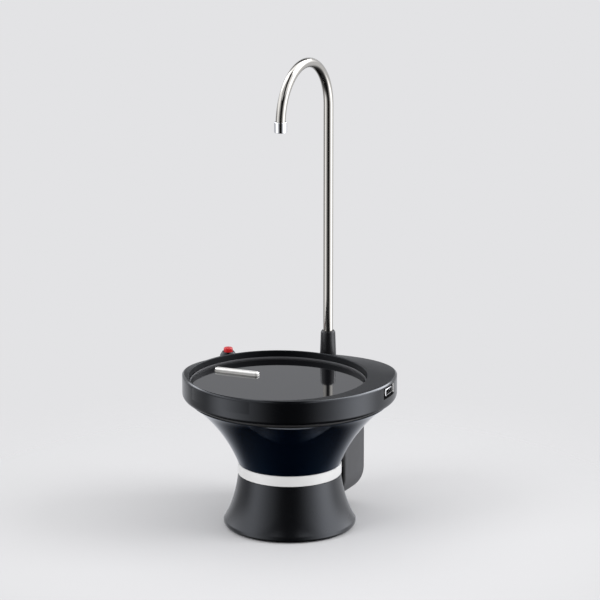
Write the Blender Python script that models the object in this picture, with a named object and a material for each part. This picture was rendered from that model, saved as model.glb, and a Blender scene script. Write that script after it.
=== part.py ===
"""Bottled water pump with a round tray head, a waisted funnel body and a gooseneck spout.

The pump stands on the neck of a large water bottle. All sizes are metres at real size. The origin is
the centre of the skirt's lower rim, +Z is up, the front of the pump faces -Y and its spout stands behind
the tray, to the right.
"""
import math

import bmesh
import bpy
from mathutils import Vector

# Counts and angles
ROUND_LARGE = 64
ROUND_MIDDLE = 40
ROUND_SMALL = 16
ROUND_POST = 12
ROUND_TINY = 8
CURVE_STEPS = 5
FILLET_STEPS = 2
SMOOTH_ANGLE = math.radians(35)
HALF_FACET = math.pi / ROUND_LARGE

# Clearances
SEAT_GAP = 0.0003
RUNNING_GAP = 0.0004
CUT_OVERRUN = 0.003

# Dish: the wide head that carries the tray
RIM_HEIGHT = 0.1275
DISH_RADIUS = 0.086
DISH_FOOT_HEIGHT = 0.107
DISH_FOOT_FILLET = 0.004
DISH_EDGE_FILLET = 0.0016
DISH_WALL = 0.0022
DISH_LIP_WIDTH = 0.003
REAR_FALL_SHARE = 0.1
REAR_FALL_BLEND = 0.008

# Recess: the round pan sunk into the dish, towards the front left
RECESS_X = -0.0092
RECESS_Y = -0.0101
RECESS_RADIUS = 0.0712
RECESS_RIM_FILLET = 0.0008
TRAY_DEPTH = 0.0064
TRAY_THICKNESS = 0.003
PAN_THICKNESS = 0.0024
PAN_WALL = 0.0022
GASKET_HEIGHT = 0.001
GASKET_WIDTH = 0.0009

# Funnel: the flared body under the dish
FUNNEL_FOOT_RADIUS = 0.0415
FUNNEL_FOOT_HEIGHT = 0.0525
FUNNEL_TOP_RADIUS = 0.0798
FUNNEL_TOP_HEIGHT = 0.1045
FUNNEL_HANDLE_RADIUS = 0.0539
FUNNEL_HANDLE_RISE_SHARE = 0.596
FUNNEL_WALL = 0.0022
FUNNEL_RIM_HEIGHT = 0.1085
FUNNEL_RIM_WALL = 0.002
FUNNEL_FLOOR_THICKNESS = 0.0025
FUNNEL_FLOOR_OPENING = 0.024

# Waist: the pale band and the spigots inside it
BAND_RADIUS = 0.0418
BAND_HEIGHT = 0.0086
BAND_THICKNESS = 0.0021
BAND_CHAMFER = 0.0005
SPIGOT_LENGTH = 0.004

# Skirt: the lower flare with the bottle socket inside it
SKIRT_BULGE_RADIUS = 0.0533
SKIRT_BULGE_HEIGHT = 0.0045
SKIRT_HANDLE_RADIUS = 0.0439
SKIRT_HANDLE_HEIGHT = 0.0198
SKIRT_RIM_FILLET = 0.0032
SKIRT_SEAT_WIDTH = 0.0021
SKIRT_WALL = 0.0024
NECK_SOCKET_RADIUS = 0.0283
NECK_SOCKET_WALL = 0.0022
NECK_SOCKET_MOUTH_HEIGHT = 0.003
NECK_WEB_THICKNESS = 0.0024
NECK_SEAL_HEIGHT = 0.008
NECK_SEAL_BASE = 0.018
NECK_SEAL_THICKNESS = 0.001
NECK_SCREW_CIRCLE = 0.034
NECK_SCREW_COUNT = 2
NECK_BOSS_RADIUS = 0.0034
NECK_BOSS_HEIGHT = 0.010

# Screws
SCREW_RADIUS = 0.0013
SCREW_HEAD_RADIUS = 0.0024
SCREW_HEAD_HEIGHT = 0.0013
SCREW_SLOT_DEPTH = 0.0007
SCREW_SLOT_WIDTH = 0.0008
POST_RADIUS = 0.0033

# Spout: plan place, collar, tube and nozzle
SPOUT_X = 0.0312
SPOUT_Y = 0.0641
NOZZLE_X = -0.0069
NOZZLE_Y = -0.0101
TUBE_RADIUS = 0.004
TUBE_BORE = 0.0034
TUBE_FOOT_HEIGHT = 0.129
ARCH_CENTRE_HEIGHT = 0.3314
NOZZLE_RADIUS = 0.0052
NOZZLE_LENGTH = 0.0085
NOZZLE_LIP = 0.0006
NOZZLE_FOOT_HEIGHT = 0.3252
COLLAR_RADIUS = 0.0068
COLLAR_TOP_RADIUS = 0.0059
COLLAR_RING_RADIUS = 0.0051
COLLAR_HEIGHT = 0.1439
COLLAR_CHAMFER = 0.0012
COLLAR_SHOULDER_HEIGHT = 0.119
SPOUT_PLUG_RADIUS = 0.0054
SPOUT_PLUG_STEP_HEIGHT = 0.1124
SPOUT_PLUG_TIP_RADIUS = 0.0043
SPOUT_PLUG_FOOT_HEIGHT = 0.1062
ORING_RADIUS = 0.00055
ORING_GROOVE_WIDTH = 0.0017
ORING_HEIGHT = 0.1093
WATER_BORE = 0.0019
SOCKET_WALL = 0.0016
SOCKET_FOOT_HEIGHT = 0.1046
SOCKET_EAR_REACH = 0.0135
SOCKET_EAR_RADIUS = 0.003
SOCKET_EAR_THICKNESS = 0.003
SOCKET_ARM_HALF_WIDTH = 0.0023

# Hoses and barbs
HOSE_BORE = 0.0027
HOSE_RADIUS = 0.0039
BARB_RADIUS = 0.0023
BARB_LENGTH = 0.007
BARB_RIDGE = 0.0003

# Rear housing: the deep shell behind the waist, in line with the spout
HOUSING_BACK = 0.0785
HOUSING_HALF_WIDTH = 0.0302
HOUSING_FOOT_HEIGHT = 0.0076
HOUSING_CORNER_RADIUS = 0.0235
HOUSING_WALL = 0.0024
HOUSING_EDGE_FILLET = 0.003
HOUSING_SCREW_REACH = 0.021
HOUSING_UPPER_SCREW_RISE_SHARE = 0.606
HOUSING_LOWER_SCREW_HEIGHT = 0.0153
HOUSING_SCREW_BITE = 0.006
WINDOW_HALF_WIDTH = 0.0145
WINDOW_FOOT_HEIGHT = 0.058
WINDOW_TOP_HEIGHT = 0.100
WINDOW_BACK = 0.0752

# Pump: a small motor with a diaphragm head, upright in the rear housing
PUMP_AXIS = 0.0629
MOTOR_RADIUS = 0.0120
MOTOR_WALL = 0.0008
MOTOR_FOOT_HEIGHT = 0.0205
MOTOR_LENGTH = 0.030
MOTOR_CAP_THICKNESS = 0.0025
MOTOR_NOSE_RADIUS = 0.004
MOTOR_NOSE_HEIGHT = 0.0016
ARMATURE_RADIUS = 0.0080
ARMATURE_LENGTH = 0.016
SHAFT_RADIUS = 0.001
PUMP_RADIUS = 0.0128
PUMP_FRAME_HEIGHT = 0.0135
PUMP_FRAME_WALL = 0.0018
CRANK_RADIUS = 0.0045
CRANK_HEIGHT = 0.003
CRANK_OFFSET = 0.0014
CRANK_PIN_RADIUS = 0.0007
CRANK_PIN_LENGTH = 0.0022
WOBBLE_RADIUS = 0.0085
WOBBLE_HUB_RADIUS = 0.0032
WOBBLE_THICKNESS = 0.0012
WOBBLE_ARM_HALF_WIDTH = 0.0016
DIAPHRAGM_THICKNESS = 0.0012
CUP_RADIUS = 0.0034
CUP_DEPTH = 0.0024
CUP_CIRCLE = 0.0064
VALVE_PLATE_THICKNESS = 0.003
VALVE_HOLE_RADIUS = 0.0009
PUMP_HEAD_HEIGHT = 0.0062
PORT_OFFSET = 0.0080
CHAMBER_COUNT = 3
PUMP_SCREW_CIRCLE = 0.0107
CLAMP_HEIGHT = 0.0085
CLAMP_THICKNESS = 0.0016
CLAMP_FOOT_HEIGHT = 0.031
CLAMP_EAR_REACH = 0.0178
CLAMP_EAR_HALF_WIDTH = 0.0034
CLAMP_PLANE = 0.066
CLAMP_POST_RADIUS = 0.003

# Intake: the fitting in the socket's web and the hose to the pump
INTAKE_FLANGE_RADIUS = 0.009
INTAKE_STEM_RADIUS = 0.0057
INTAKE_FLANGE_THICKNESS = 0.0016
INTAKE_NUT_RADIUS = 0.0092
INTAKE_NUT_HEIGHT = 0.0026
INTAKE_TAIL_LENGTH = 0.009
INTAKE_RISE = 0.012

# Battery and its holder, in front of the funnel's axis
CELL_RADIUS = 0.00915
CELL_LENGTH = 0.065
CELL_CAP_RADIUS = 0.003
CELL_CAP_HEIGHT = 0.0012
CELL_AXIS = -0.024
CELL_RISE_SHARE = 0.692
HOLDER_WALL = 0.0016
HOLDER_RISE_SHARE = 0.35
HOLDER_PEG_REACH = 0.024
HOLDER_POST_RADIUS = 0.003
HOLDER_PEG_RADIUS = 0.0016

# Charging port: a recess in the right-hand wall with a receptacle and its board behind it
PORT_ANGLE = math.radians(-22.6)
PORT_HEIGHT = 0.1206
PORT_RECESS_WIDTH = 0.022
PORT_RECESS_HEIGHT = 0.0083
PORT_RECESS_DEPTH = 0.0028
PORT_RECESS_FILLET = 0.0008
PORT_BLOCK_WIDTH = 0.027
PORT_BLOCK_DEPTH = 0.0072
PORT_BLOCK_FOOT_HEIGHT = 0.1135
RECEPTACLE_WIDTH = 0.0131
RECEPTACLE_HEIGHT = 0.0057
RECEPTACLE_DEPTH = 0.0137
RECEPTACLE_WALL = 0.0005
RECEPTACLE_MOUTH_DEPTH = 0.009
RECEPTACLE_PROUD = 0.0006
TONGUE_WIDTH = 0.0105
TONGUE_THICKNESS = 0.0017
TONGUE_LENGTH = 0.0075
BOARD_RADIAL = 0.0093
BOARD_LENGTH = 0.040
BOARD_THICKNESS = 0.0016
BOARD_INNER = 0.0691
BOARD_SCREW_REACH = 0.0165
BOARD_POST_RADIUS = 0.0022

# Power button on the rear left of the dish
BUTTON_X = -0.0502
BUTTON_Y = 0.0600
BUTTON_RADIUS = 0.00375
BUTTON_HEIGHT = 0.1304
BUTTON_SKIRT_HEIGHT = 0.1232
BUTTON_FILLET = 0.0008
BUTTON_STEM_RADIUS = 0.0013
BUTTON_TRAVEL = 0.0012
BEZEL_RADIUS = 0.00675
BEZEL_TOP_RADIUS = 0.0053
BEZEL_HEIGHT = 0.1261
BEZEL_SHOULDER_HEIGHT = 0.1242
BEZEL_FOOT_HEIGHT = 0.1184
BUTTON_POST_RADIUS = 0.0095
BUTTON_FLOOR_THICKNESS = 0.0022
SWITCH_WIDTH = 0.007
SWITCH_HEIGHT = 0.0066
SWITCH_BORE_DEPTH = 0.0052
BUTTON_SPRING_RADIUS = 0.0025

# Press bar: the metal bar that a cup pushes down into the tray
BAR_X = -0.0423
BAR_Y = 0.0172
BAR_ANGLE = math.radians(-22.5)
BAR_LENGTH = 0.0385
BAR_WIDTH = 0.0058
BAR_PROUD = 0.0022
BAR_EDGE_FILLET = 0.001
BAR_TRAVEL = 0.0015
YOKE_LENGTH = 0.0425
YOKE_WIDTH = 0.0098
YOKE_THICKNESS = 0.0026
YOKE_SOCKET_DEPTH = 0.0012
BRACKET_LENGTH = 0.056
BRACKET_WIDTH = 0.013
BRACKET_THICKNESS = 0.0016
BRACKET_DEPTH = 0.0114
BRACKET_TROUGH_LENGTH = 0.0465
BRACKET_SCREW_REACH = 0.0252
BAR_SPRING_REACH = 0.0145
BAR_SPRING_RADIUS = 0.0024
CUP_SWITCH_WIDTH = 0.006
CUP_SWITCH_KNOB_RADIUS = 0.0017
CUP_SWITCH_KNOB_HEIGHT = 0.0006

# Leads: two-core cables, each to the control board, as points along their routes
LEAD_RADIUS = 0.0008
LEAD_STEPS = 3
MOTOR_LEAD_ROUTE = [(0.0600, -0.0060, 0.0193), (0.0560, -0.0120, 0.0185), (0.0510, -0.0180, 0.0240),
                    (0.0500, -0.0185, 0.0400), (0.0520, -0.0135, 0.0620), (0.0520, -0.0115, 0.0740),
                    (0.0420, -0.0115, 0.0840), (0.0280, -0.0250, 0.1000), (0.0120, -0.0500, 0.1080),
                    (0.0060, -0.0690, 0.1105), (0.0045, -0.0725, 0.1148)]
BATTERY_LEAD_ROUTE = [(-0.0240, -0.0363, 0.0860), (-0.0235, -0.0400, 0.0900), (-0.0140, -0.0520, 0.1020),
                      (-0.0030, -0.0680, 0.1085), (-0.0015, -0.0720, 0.1148)]
CUP_SWITCH_LEAD_ROUTE = [(-0.0405, 0.0130, 0.1080), (-0.0380, 0.0060, 0.1075), (-0.0200, -0.0180, 0.1070),
                         (0.0200, -0.0340, 0.1070), (0.0480, -0.0410, 0.1080), (0.0590, -0.0410, 0.1105),
                         (0.0611, -0.0406, 0.1148)]
BUTTON_LEAD_ROUTE = [(-0.0475, 0.0567, 0.1112), (-0.0450, 0.0545, 0.1095), (-0.0290, 0.0498, 0.1110),
                     (-0.0100, 0.0360, 0.1136), (0.0160, 0.0230, 0.1138), (0.0420, -0.0020, 0.1134),
                     (0.0640, -0.0180, 0.1115), (0.0700, -0.0215, 0.1115), (0.0715, -0.0222, 0.1148)]

# Springs
SPRING_WIRE = 0.00025
SPRING_TURNS = 3

# Screws that hold the dish to the funnel
DISH_SCREW_CIRCLE = 0.052
DISH_SCREW_COUNT = 3
DISH_SCREW_LENGTH = 0.009

# Places and heights that follow from the sizes above
FUNNEL_RISE = FUNNEL_TOP_HEIGHT - FUNNEL_FOOT_HEIGHT
FUNNEL_HANDLE_HEIGHT = FUNNEL_FOOT_HEIGHT + FUNNEL_RISE * FUNNEL_HANDLE_RISE_SHARE
HOUSING_UPPER_SCREW_HEIGHT = FUNNEL_FOOT_HEIGHT + FUNNEL_RISE * HOUSING_UPPER_SCREW_RISE_SHARE
CELL_HEIGHT = FUNNEL_FOOT_HEIGHT + FUNNEL_RISE * CELL_RISE_SHARE
SPOUT_ANGLE = math.atan2(SPOUT_Y, SPOUT_X)
SPOUT_REACH = math.hypot(SPOUT_X, SPOUT_Y)
TRAY_HEIGHT = RIM_HEIGHT - TRAY_DEPTH
PAN_HEIGHT = TRAY_HEIGHT - TRAY_THICKNESS - SEAT_GAP
PAN_UNDERSIDE = PAN_HEIGHT - PAN_THICKNESS
BAND_FOOT_HEIGHT = FUNNEL_FOOT_HEIGHT - SEAT_GAP - BAND_HEIGHT
SKIRT_TOP_HEIGHT = BAND_FOOT_HEIGHT - SEAT_GAP
SPIGOT_RADIUS = BAND_RADIUS - BAND_THICKNESS - SEAT_GAP
FUNNEL_SPIGOT_FOOT = FUNNEL_FOOT_HEIGHT - SPIGOT_LENGTH
SKIRT_SPIGOT_TOP = FUNNEL_SPIGOT_FOOT - SEAT_GAP
LIP_RADIUS = FUNNEL_TOP_RADIUS + RUNNING_GAP + SEAT_GAP
MOTOR_TOP_HEIGHT = MOTOR_FOOT_HEIGHT + MOTOR_LENGTH
PUMP_FOOT_HEIGHT = MOTOR_TOP_HEIGHT + SEAT_GAP
DIAPHRAGM_HEIGHT = PUMP_FOOT_HEIGHT + PUMP_FRAME_HEIGHT + SEAT_GAP
VALVE_PLATE_HEIGHT = DIAPHRAGM_HEIGHT + DIAPHRAGM_THICKNESS + SEAT_GAP
PUMP_HEAD_FOOT = VALVE_PLATE_HEIGHT + VALVE_PLATE_THICKNESS + SEAT_GAP
PUMP_HEAD_TOP = PUMP_HEAD_FOOT + PUMP_HEAD_HEIGHT
HOUSING_INSIDE = HOUSING_BACK - HOUSING_WALL


def new_object(name, mesh, parent=None, place=(0, 0, 0), turn=0.0):
    """Link a mesh as an object at a place, turned about +Z."""
    item = bpy.data.objects.new(name, mesh)
    bpy.context.collection.objects.link(item)
    item.parent = parent
    item.location = place
    item.rotation_euler = (0, 0, turn)
    return item


def new_frame(name, place=(0, 0, 0), turn=0.0):
    """An empty that carries a group of pieces."""
    return new_object(name, None, place=place, turn=turn)


def finished_mesh(name, shape):
    """Turn a bmesh into a smooth-shaded mesh whose faces point outwards."""
    bmesh.ops.recalc_face_normals(shape, faces=shape.faces)
    mesh = bpy.data.meshes.new(name)
    shape.to_mesh(mesh)
    shape.free()
    mesh.shade_smooth()
    mesh.set_sharp_from_angle(angle=SMOOTH_ANGLE)
    return mesh


def finish(item, colour, roughness, metallic=0.0):
    """Give an object its own material."""
    material = bpy.data.materials.new(item.name)
    material.use_nodes = True
    shader = material.node_tree.nodes["Principled BSDF"]
    shader.inputs["Base Color"].default_value = (*colour, 1.0)
    shader.inputs["Roughness"].default_value = roughness
    shader.inputs["Metallic"].default_value = metallic
    item.data.materials.append(material)
    return item


def as_cutter(item):
    """Keep a shape as a tool only."""
    item.hide_render = True
    item.display_type = "WIRE"
    return item


def combine(target, tool, operation):
    """Apply a tool live, then split the faces it leaves into flat triangles for the next tool."""
    step = target.modifiers.new(tool.name, "BOOLEAN")
    step.operation = operation
    step.solver = "EXACT"
    step.object = as_cutter(tool)
    target.modifiers.new(tool.name + "_flat", "TRIANGULATE").ngon_method = "CLIP"


def cut(target, *tools):
    for tool in tools:
        combine(target, tool, "DIFFERENCE")


def join(target, *tools):
    for tool in tools:
        combine(target, tool, "UNION")


def soften(item, width, steps=2):
    """Round the sharp edges of a piece."""
    step = item.modifiers.new("rounded_edges", "BEVEL")
    step.width = width
    step.segments = steps
    step.limit_method = "ANGLE"
    return item


def arc(centre, radius, first_degrees, last_degrees, steps=FILLET_STEPS):
    """Points of an arc in an outline's plane."""
    points = []
    for step in range(steps + 1):
        angle = math.radians(first_degrees + (last_degrees - first_degrees) * step / steps)
        points.append((centre[0] + radius * math.cos(angle), centre[1] + radius * math.sin(angle)))
    return points


def flare(foot, handle, top, steps=CURVE_STEPS):
    """Points of a curve that leaves its foot towards the handle and reaches the top from it."""
    points = []
    for step in range(steps + 1):
        share = step / steps
        points.append(tuple((1 - share) ** 2 * a + 2 * share * (1 - share) * b + share ** 2 * c
                            for a, b, c in zip(foot, handle, top)))
    return points


def offset(points, distance):
    """Move an open outline to its left by a distance."""
    moved = []
    for index, point in enumerate(points):
        before = Vector(points[max(index - 1, 0)])
        after = Vector(points[min(index + 1, len(points) - 1)])
        run = (after - before).normalized()
        moved.append((point[0] - run.y * distance, point[1] + run.x * distance))
    return moved


def turned(name, outline, segments, parent=None, place=(0, 0, 0), turn=0.0):
    """Spin a closed outline of (radius, height) points once round +Z."""
    shape = bmesh.new()
    corners = [shape.verts.new((radius, 0, height)) for radius, height in outline]
    edges = []
    for first, second in zip(corners, corners[1:] + corners[:1]):
        on_axis = first.co.x == 0 and second.co.x == 0
        if not on_axis:
            edges.append(shape.edges.new((first, second)))
    bmesh.ops.spin(shape, geom=corners + edges, cent=(0, 0, 0), axis=(0, 0, 1), dvec=(0, 0, 0),
                   angle=2 * math.pi, steps=segments, use_merge=True, use_duplicate=False)
    poles = [vert for vert in shape.verts if vert.co.xy.length == 0]
    bmesh.ops.remove_doubles(shape, verts=poles, dist=SEAT_GAP)
    return new_object(name, finished_mesh(name, shape), parent, place, turn)


def lofted(name, rings):
    """Join rings of points, each with as many points, and close the first and the last ring."""
    shape = bmesh.new()
    loops = [[shape.verts.new(point) for point in ring] for ring in rings]
    count = len(loops[0])
    for lower, upper in zip(loops, loops[1:]):
        for step in range(count):
            after = (step + 1) % count
            shape.faces.new((lower[step], lower[after], upper[after], upper[step]))
    shape.faces.new(loops[0])
    shape.faces.new(loops[-1])
    bmesh.ops.triangulate(shape, faces=[face for face in shape.faces if len(face.verts) == 4])
    return new_object(name, finished_mesh(name, shape))


def plate(name, outline, foot, top, parent=None, place=(0, 0, 0), turn=0.0):
    """Raise a flat outline of (x, y) points from one height to another."""
    shape = bmesh.new()
    face = shape.faces.new([shape.verts.new((x, y, foot)) for x, y in outline])
    raised = bmesh.ops.extrude_face_region(shape, geom=[face])
    verts = [part for part in raised["geom"] if isinstance(part, bmesh.types.BMVert)]
    bmesh.ops.translate(shape, verts=verts, vec=(0, 0, top - foot))
    return new_object(name, finished_mesh(name, shape), parent, place, turn)


def block(name, low, high, parent=None, place=(0, 0, 0), turn=0.0):
    """A box between two corners."""
    outline = [(low[0], low[1]), (high[0], low[1]), (high[0], high[1]), (low[0], high[1])]
    return plate(name, outline, low[2], high[2], parent, place, turn)


def drum(name, radius, foot, top, segments=ROUND_POST, parent=None, place=(0, 0, 0)):
    """An upright cylinder."""
    return turned(name, [(0, foot), (radius, foot), (radius, top), (0, top)], segments, parent, place)


def lying_drum(name, radius, start, end, parent=None, segments=ROUND_POST):
    """A cylinder between two points of its parent's frame."""
    axis = Vector(end) - Vector(start)
    item = drum(name, radius, 0, axis.length, segments, parent, start)
    item.rotation_euler = axis.to_track_quat("Z", "Y").to_euler()
    return item


def slot_outline(length, width, steps=FILLET_STEPS * 2):
    """A slot with round ends along X, centred on zero."""
    reach = (length - width) / 2
    right = arc((reach, 0), width / 2, -90, 90, steps)
    left = arc((-reach, 0), width / 2, 90, 270, steps)
    return right + left


def smooth_route(points, steps):
    """Points along a smooth curve through the route's own points."""
    knots = [Vector(point) for point in points]
    knots = [2 * knots[0] - knots[1]] + knots + [2 * knots[-1] - knots[-2]]
    route = []
    for before, first, second, after in zip(knots, knots[1:], knots[2:], knots[3:]):
        for step in range(steps):
            share = step / steps
            route.append(0.5 * (2 * first + (second - before) * share
                                + (2 * before - 5 * first + 4 * second - after) * share ** 2
                                + (3 * first - 3 * second + after - before) * share ** 3))
    route.append(knots[-2])
    return route


def pipe(name, route, radius, bore, sides, parent=None, place=(0, 0, 0), turn=0.0):
    """Sweep a round wall along a route; a bore of zero gives a solid rod."""
    shape = bmesh.new()
    side = None
    outer_rings, inner_rings = [], []
    for index, point in enumerate(route):
        run = (route[min(index + 1, len(route) - 1)] - route[max(index - 1, 0)]).normalized()
        side = run.orthogonal() if side is None else side - side.dot(run) * run
        side.normalize()
        across = run.cross(side)
        for ring, size in ((outer_rings, radius), (inner_rings, bore)):
            angles = [2 * math.pi * step / sides for step in range(sides)]
            ring.append([shape.verts.new(point + size * (math.cos(a) * side + math.sin(a) * across))
                         for a in angles] if size else None)
    for rings in (outer_rings, inner_rings):
        for lower, upper in zip(rings, rings[1:]):
            if lower is None:
                continue
            for step in range(sides):
                after = (step + 1) % sides
                shape.faces.new((lower[step], lower[after], upper[after], upper[step]))
    for end in (0, -1):
        if bore:
            for step in range(sides):
                after = (step + 1) % sides
                shape.faces.new((outer_rings[end][step], outer_rings[end][after],
                                 inner_rings[end][after], inner_rings[end][step]))
        else:
            shape.faces.new(outer_rings[end])
    return new_object(name, finished_mesh(name, shape), parent, place, turn)


def coil(name, radius, foot, top, parent=None, place=(0, 0, 0)):
    """A compression spring as one unbroken wire."""
    steps_per_turn = ROUND_TINY
    count = SPRING_TURNS * steps_per_turn
    low, high = foot + SPRING_WIRE, top - SPRING_WIRE
    route = []
    for step in range(count + 1):
        angle = 2 * math.pi * step / steps_per_turn
        height = low + (high - low) * step / count
        route.append(Vector((radius * math.cos(angle), radius * math.sin(angle), height)))
    return pipe(name, route, SPRING_WIRE, 0, ROUND_TINY // 2, parent, place)


def screw(name, length, parent=None, place=(0, 0, 0), aim=(0, 0, -1)):
    """A pan-head screw with a driver slot; its head's seat is at its place and it points along aim."""
    outline = [(0, -length), (SCREW_RADIUS * 0.5, -length), (SCREW_RADIUS, -length + SCREW_RADIUS),
               (SCREW_RADIUS, 0), (SCREW_HEAD_RADIUS, 0), (SCREW_HEAD_RADIUS, SCREW_HEAD_HEIGHT * 0.6),
               (SCREW_HEAD_RADIUS * 0.7, SCREW_HEAD_HEIGHT), (0, SCREW_HEAD_HEIGHT)]
    item = turned(name, outline, ROUND_TINY, parent, place)
    item.rotation_euler = (-Vector(aim)).to_track_quat("Z", "Y").to_euler()
    slot_half = SCREW_SLOT_WIDTH / 2
    slot = block(name + "_slot", (-CUT_OVERRUN, -slot_half, SCREW_HEAD_HEIGHT - SCREW_SLOT_DEPTH),
                 (CUT_OVERRUN, slot_half, SCREW_HEAD_HEIGHT + CUT_OVERRUN), item)
    cut(item, slot)
    return finish(item, (0.62, 0.62, 0.64), 0.3, 1.0)


def barb_outline(foot, top, upward=True):
    """Outer points of a hose barb with two ridges, in order of height from its root to its tip."""
    root, tip = (foot, top) if upward else (top, foot)
    run = tip - root
    points = [(BARB_RADIUS - BARB_RIDGE, root)]
    for share in (0.45, 0.9):
        points.append((BARB_RADIUS - BARB_RIDGE, root + run * share))
        points.append((BARB_RADIUS, root + run * share))
    points.append((BARB_RADIUS - BARB_RIDGE, tip))
    return points


def ring_points(radius, centre_share, height):
    """A ring about an axis between the funnel's (share 0) and the recess's (share 1)."""
    points = []
    for step in range(ROUND_LARGE):
        angle = 2 * math.pi * step / ROUND_LARGE
        x = RECESS_X * centre_share + radius * math.cos(angle)
        y = RECESS_Y * centre_share + radius * math.sin(angle)
        points.append((x, y, height(y) if callable(height) else height))
    return points


def edge_height(y):
    """Height of the dish's outer edge, which falls away towards the rear."""
    return RIM_HEIGHT - REAR_FALL_SHARE * (y + math.hypot(y, REAR_FALL_BLEND)) / 2


def dish_outside():
    """The dish as a full solid: foot, outer wall, rounded edge and crescent top."""
    rings = [ring_points(radius, 0, height) for radius, height in
             arc((DISH_RADIUS - DISH_FOOT_FILLET, DISH_FOOT_HEIGHT + DISH_FOOT_FILLET),
                 DISH_FOOT_FILLET, -90, 0, FILLET_STEPS + 1)]
    for radius, drop in arc((DISH_RADIUS - DISH_EDGE_FILLET, -DISH_EDGE_FILLET), DISH_EDGE_FILLET, 0, 90):
        rings.append(ring_points(radius, 0, lambda y, drop=drop: edge_height(y) + drop))
    rings.append(ring_points(RECESS_RADIUS + RECESS_RIM_FILLET / 2, 1, RIM_HEIGHT))
    return lofted("dish_housing", rings)


def dish_cavity():
    """The space inside the dish, with bosses left standing in it."""
    inner = DISH_RADIUS - DISH_WALL
    under = RECESS_RADIUS - PAN_WALL
    rings = [ring_points(LIP_RADIUS, 0, DISH_FOOT_HEIGHT - CUT_OVERRUN),
             ring_points(LIP_RADIUS, 0, DISH_FOOT_HEIGHT + DISH_WALL),
             ring_points(inner, 0, DISH_FOOT_HEIGHT + DISH_WALL),
             ring_points(inner, 0, lambda y: edge_height(y) - DISH_WALL),
             ring_points(under, 1, RIM_HEIGHT - DISH_WALL)]
    return lofted("dish_cavity", rings)


def recess_cutter():
    """The pan's space, with the rounded rim at its mouth."""
    rim = arc((RECESS_RADIUS + RECESS_RIM_FILLET, RIM_HEIGHT - RECESS_RIM_FILLET), RECESS_RIM_FILLET,
              180, 90)
    over = RIM_HEIGHT + CUT_OVERRUN
    outline = [(0, PAN_HEIGHT), (RECESS_RADIUS, PAN_HEIGHT)] + rim
    outline += [(RECESS_RADIUS + RECESS_RIM_FILLET, over), (0, over)]
    return turned("recess_cutter", outline, ROUND_LARGE, place=(RECESS_X, RECESS_Y, 0), turn=HALF_FACET)


def dish_screw_places():
    """Plan places of the screws under the tray, square about the spout's direction."""
    places = []
    for step in range(DISH_SCREW_COUNT):
        angle = SPOUT_ANGLE + 2 * math.pi * (step + 0.5) / DISH_SCREW_COUNT
        places.append((DISH_SCREW_CIRCLE * math.cos(angle), DISH_SCREW_CIRCLE * math.sin(angle)))
    return places


def pan_screw_hole(name, place, parent=None):
    """A clearance hole with a countersunk seat in the pan's floor."""
    seat = PAN_HEIGHT - SCREW_HEAD_HEIGHT - RUNNING_GAP
    hole = SCREW_RADIUS + RUNNING_GAP
    head = SCREW_HEAD_RADIUS + RUNNING_GAP
    outline = [(0, PAN_UNDERSIDE - CUT_OVERRUN), (hole, PAN_UNDERSIDE - CUT_OVERRUN), (hole, seat),
               (head, seat), (head, PAN_HEIGHT + CUT_OVERRUN), (0, PAN_HEIGHT + CUT_OVERRUN)]
    return turned(name, outline, ROUND_TINY, parent, place)


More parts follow.
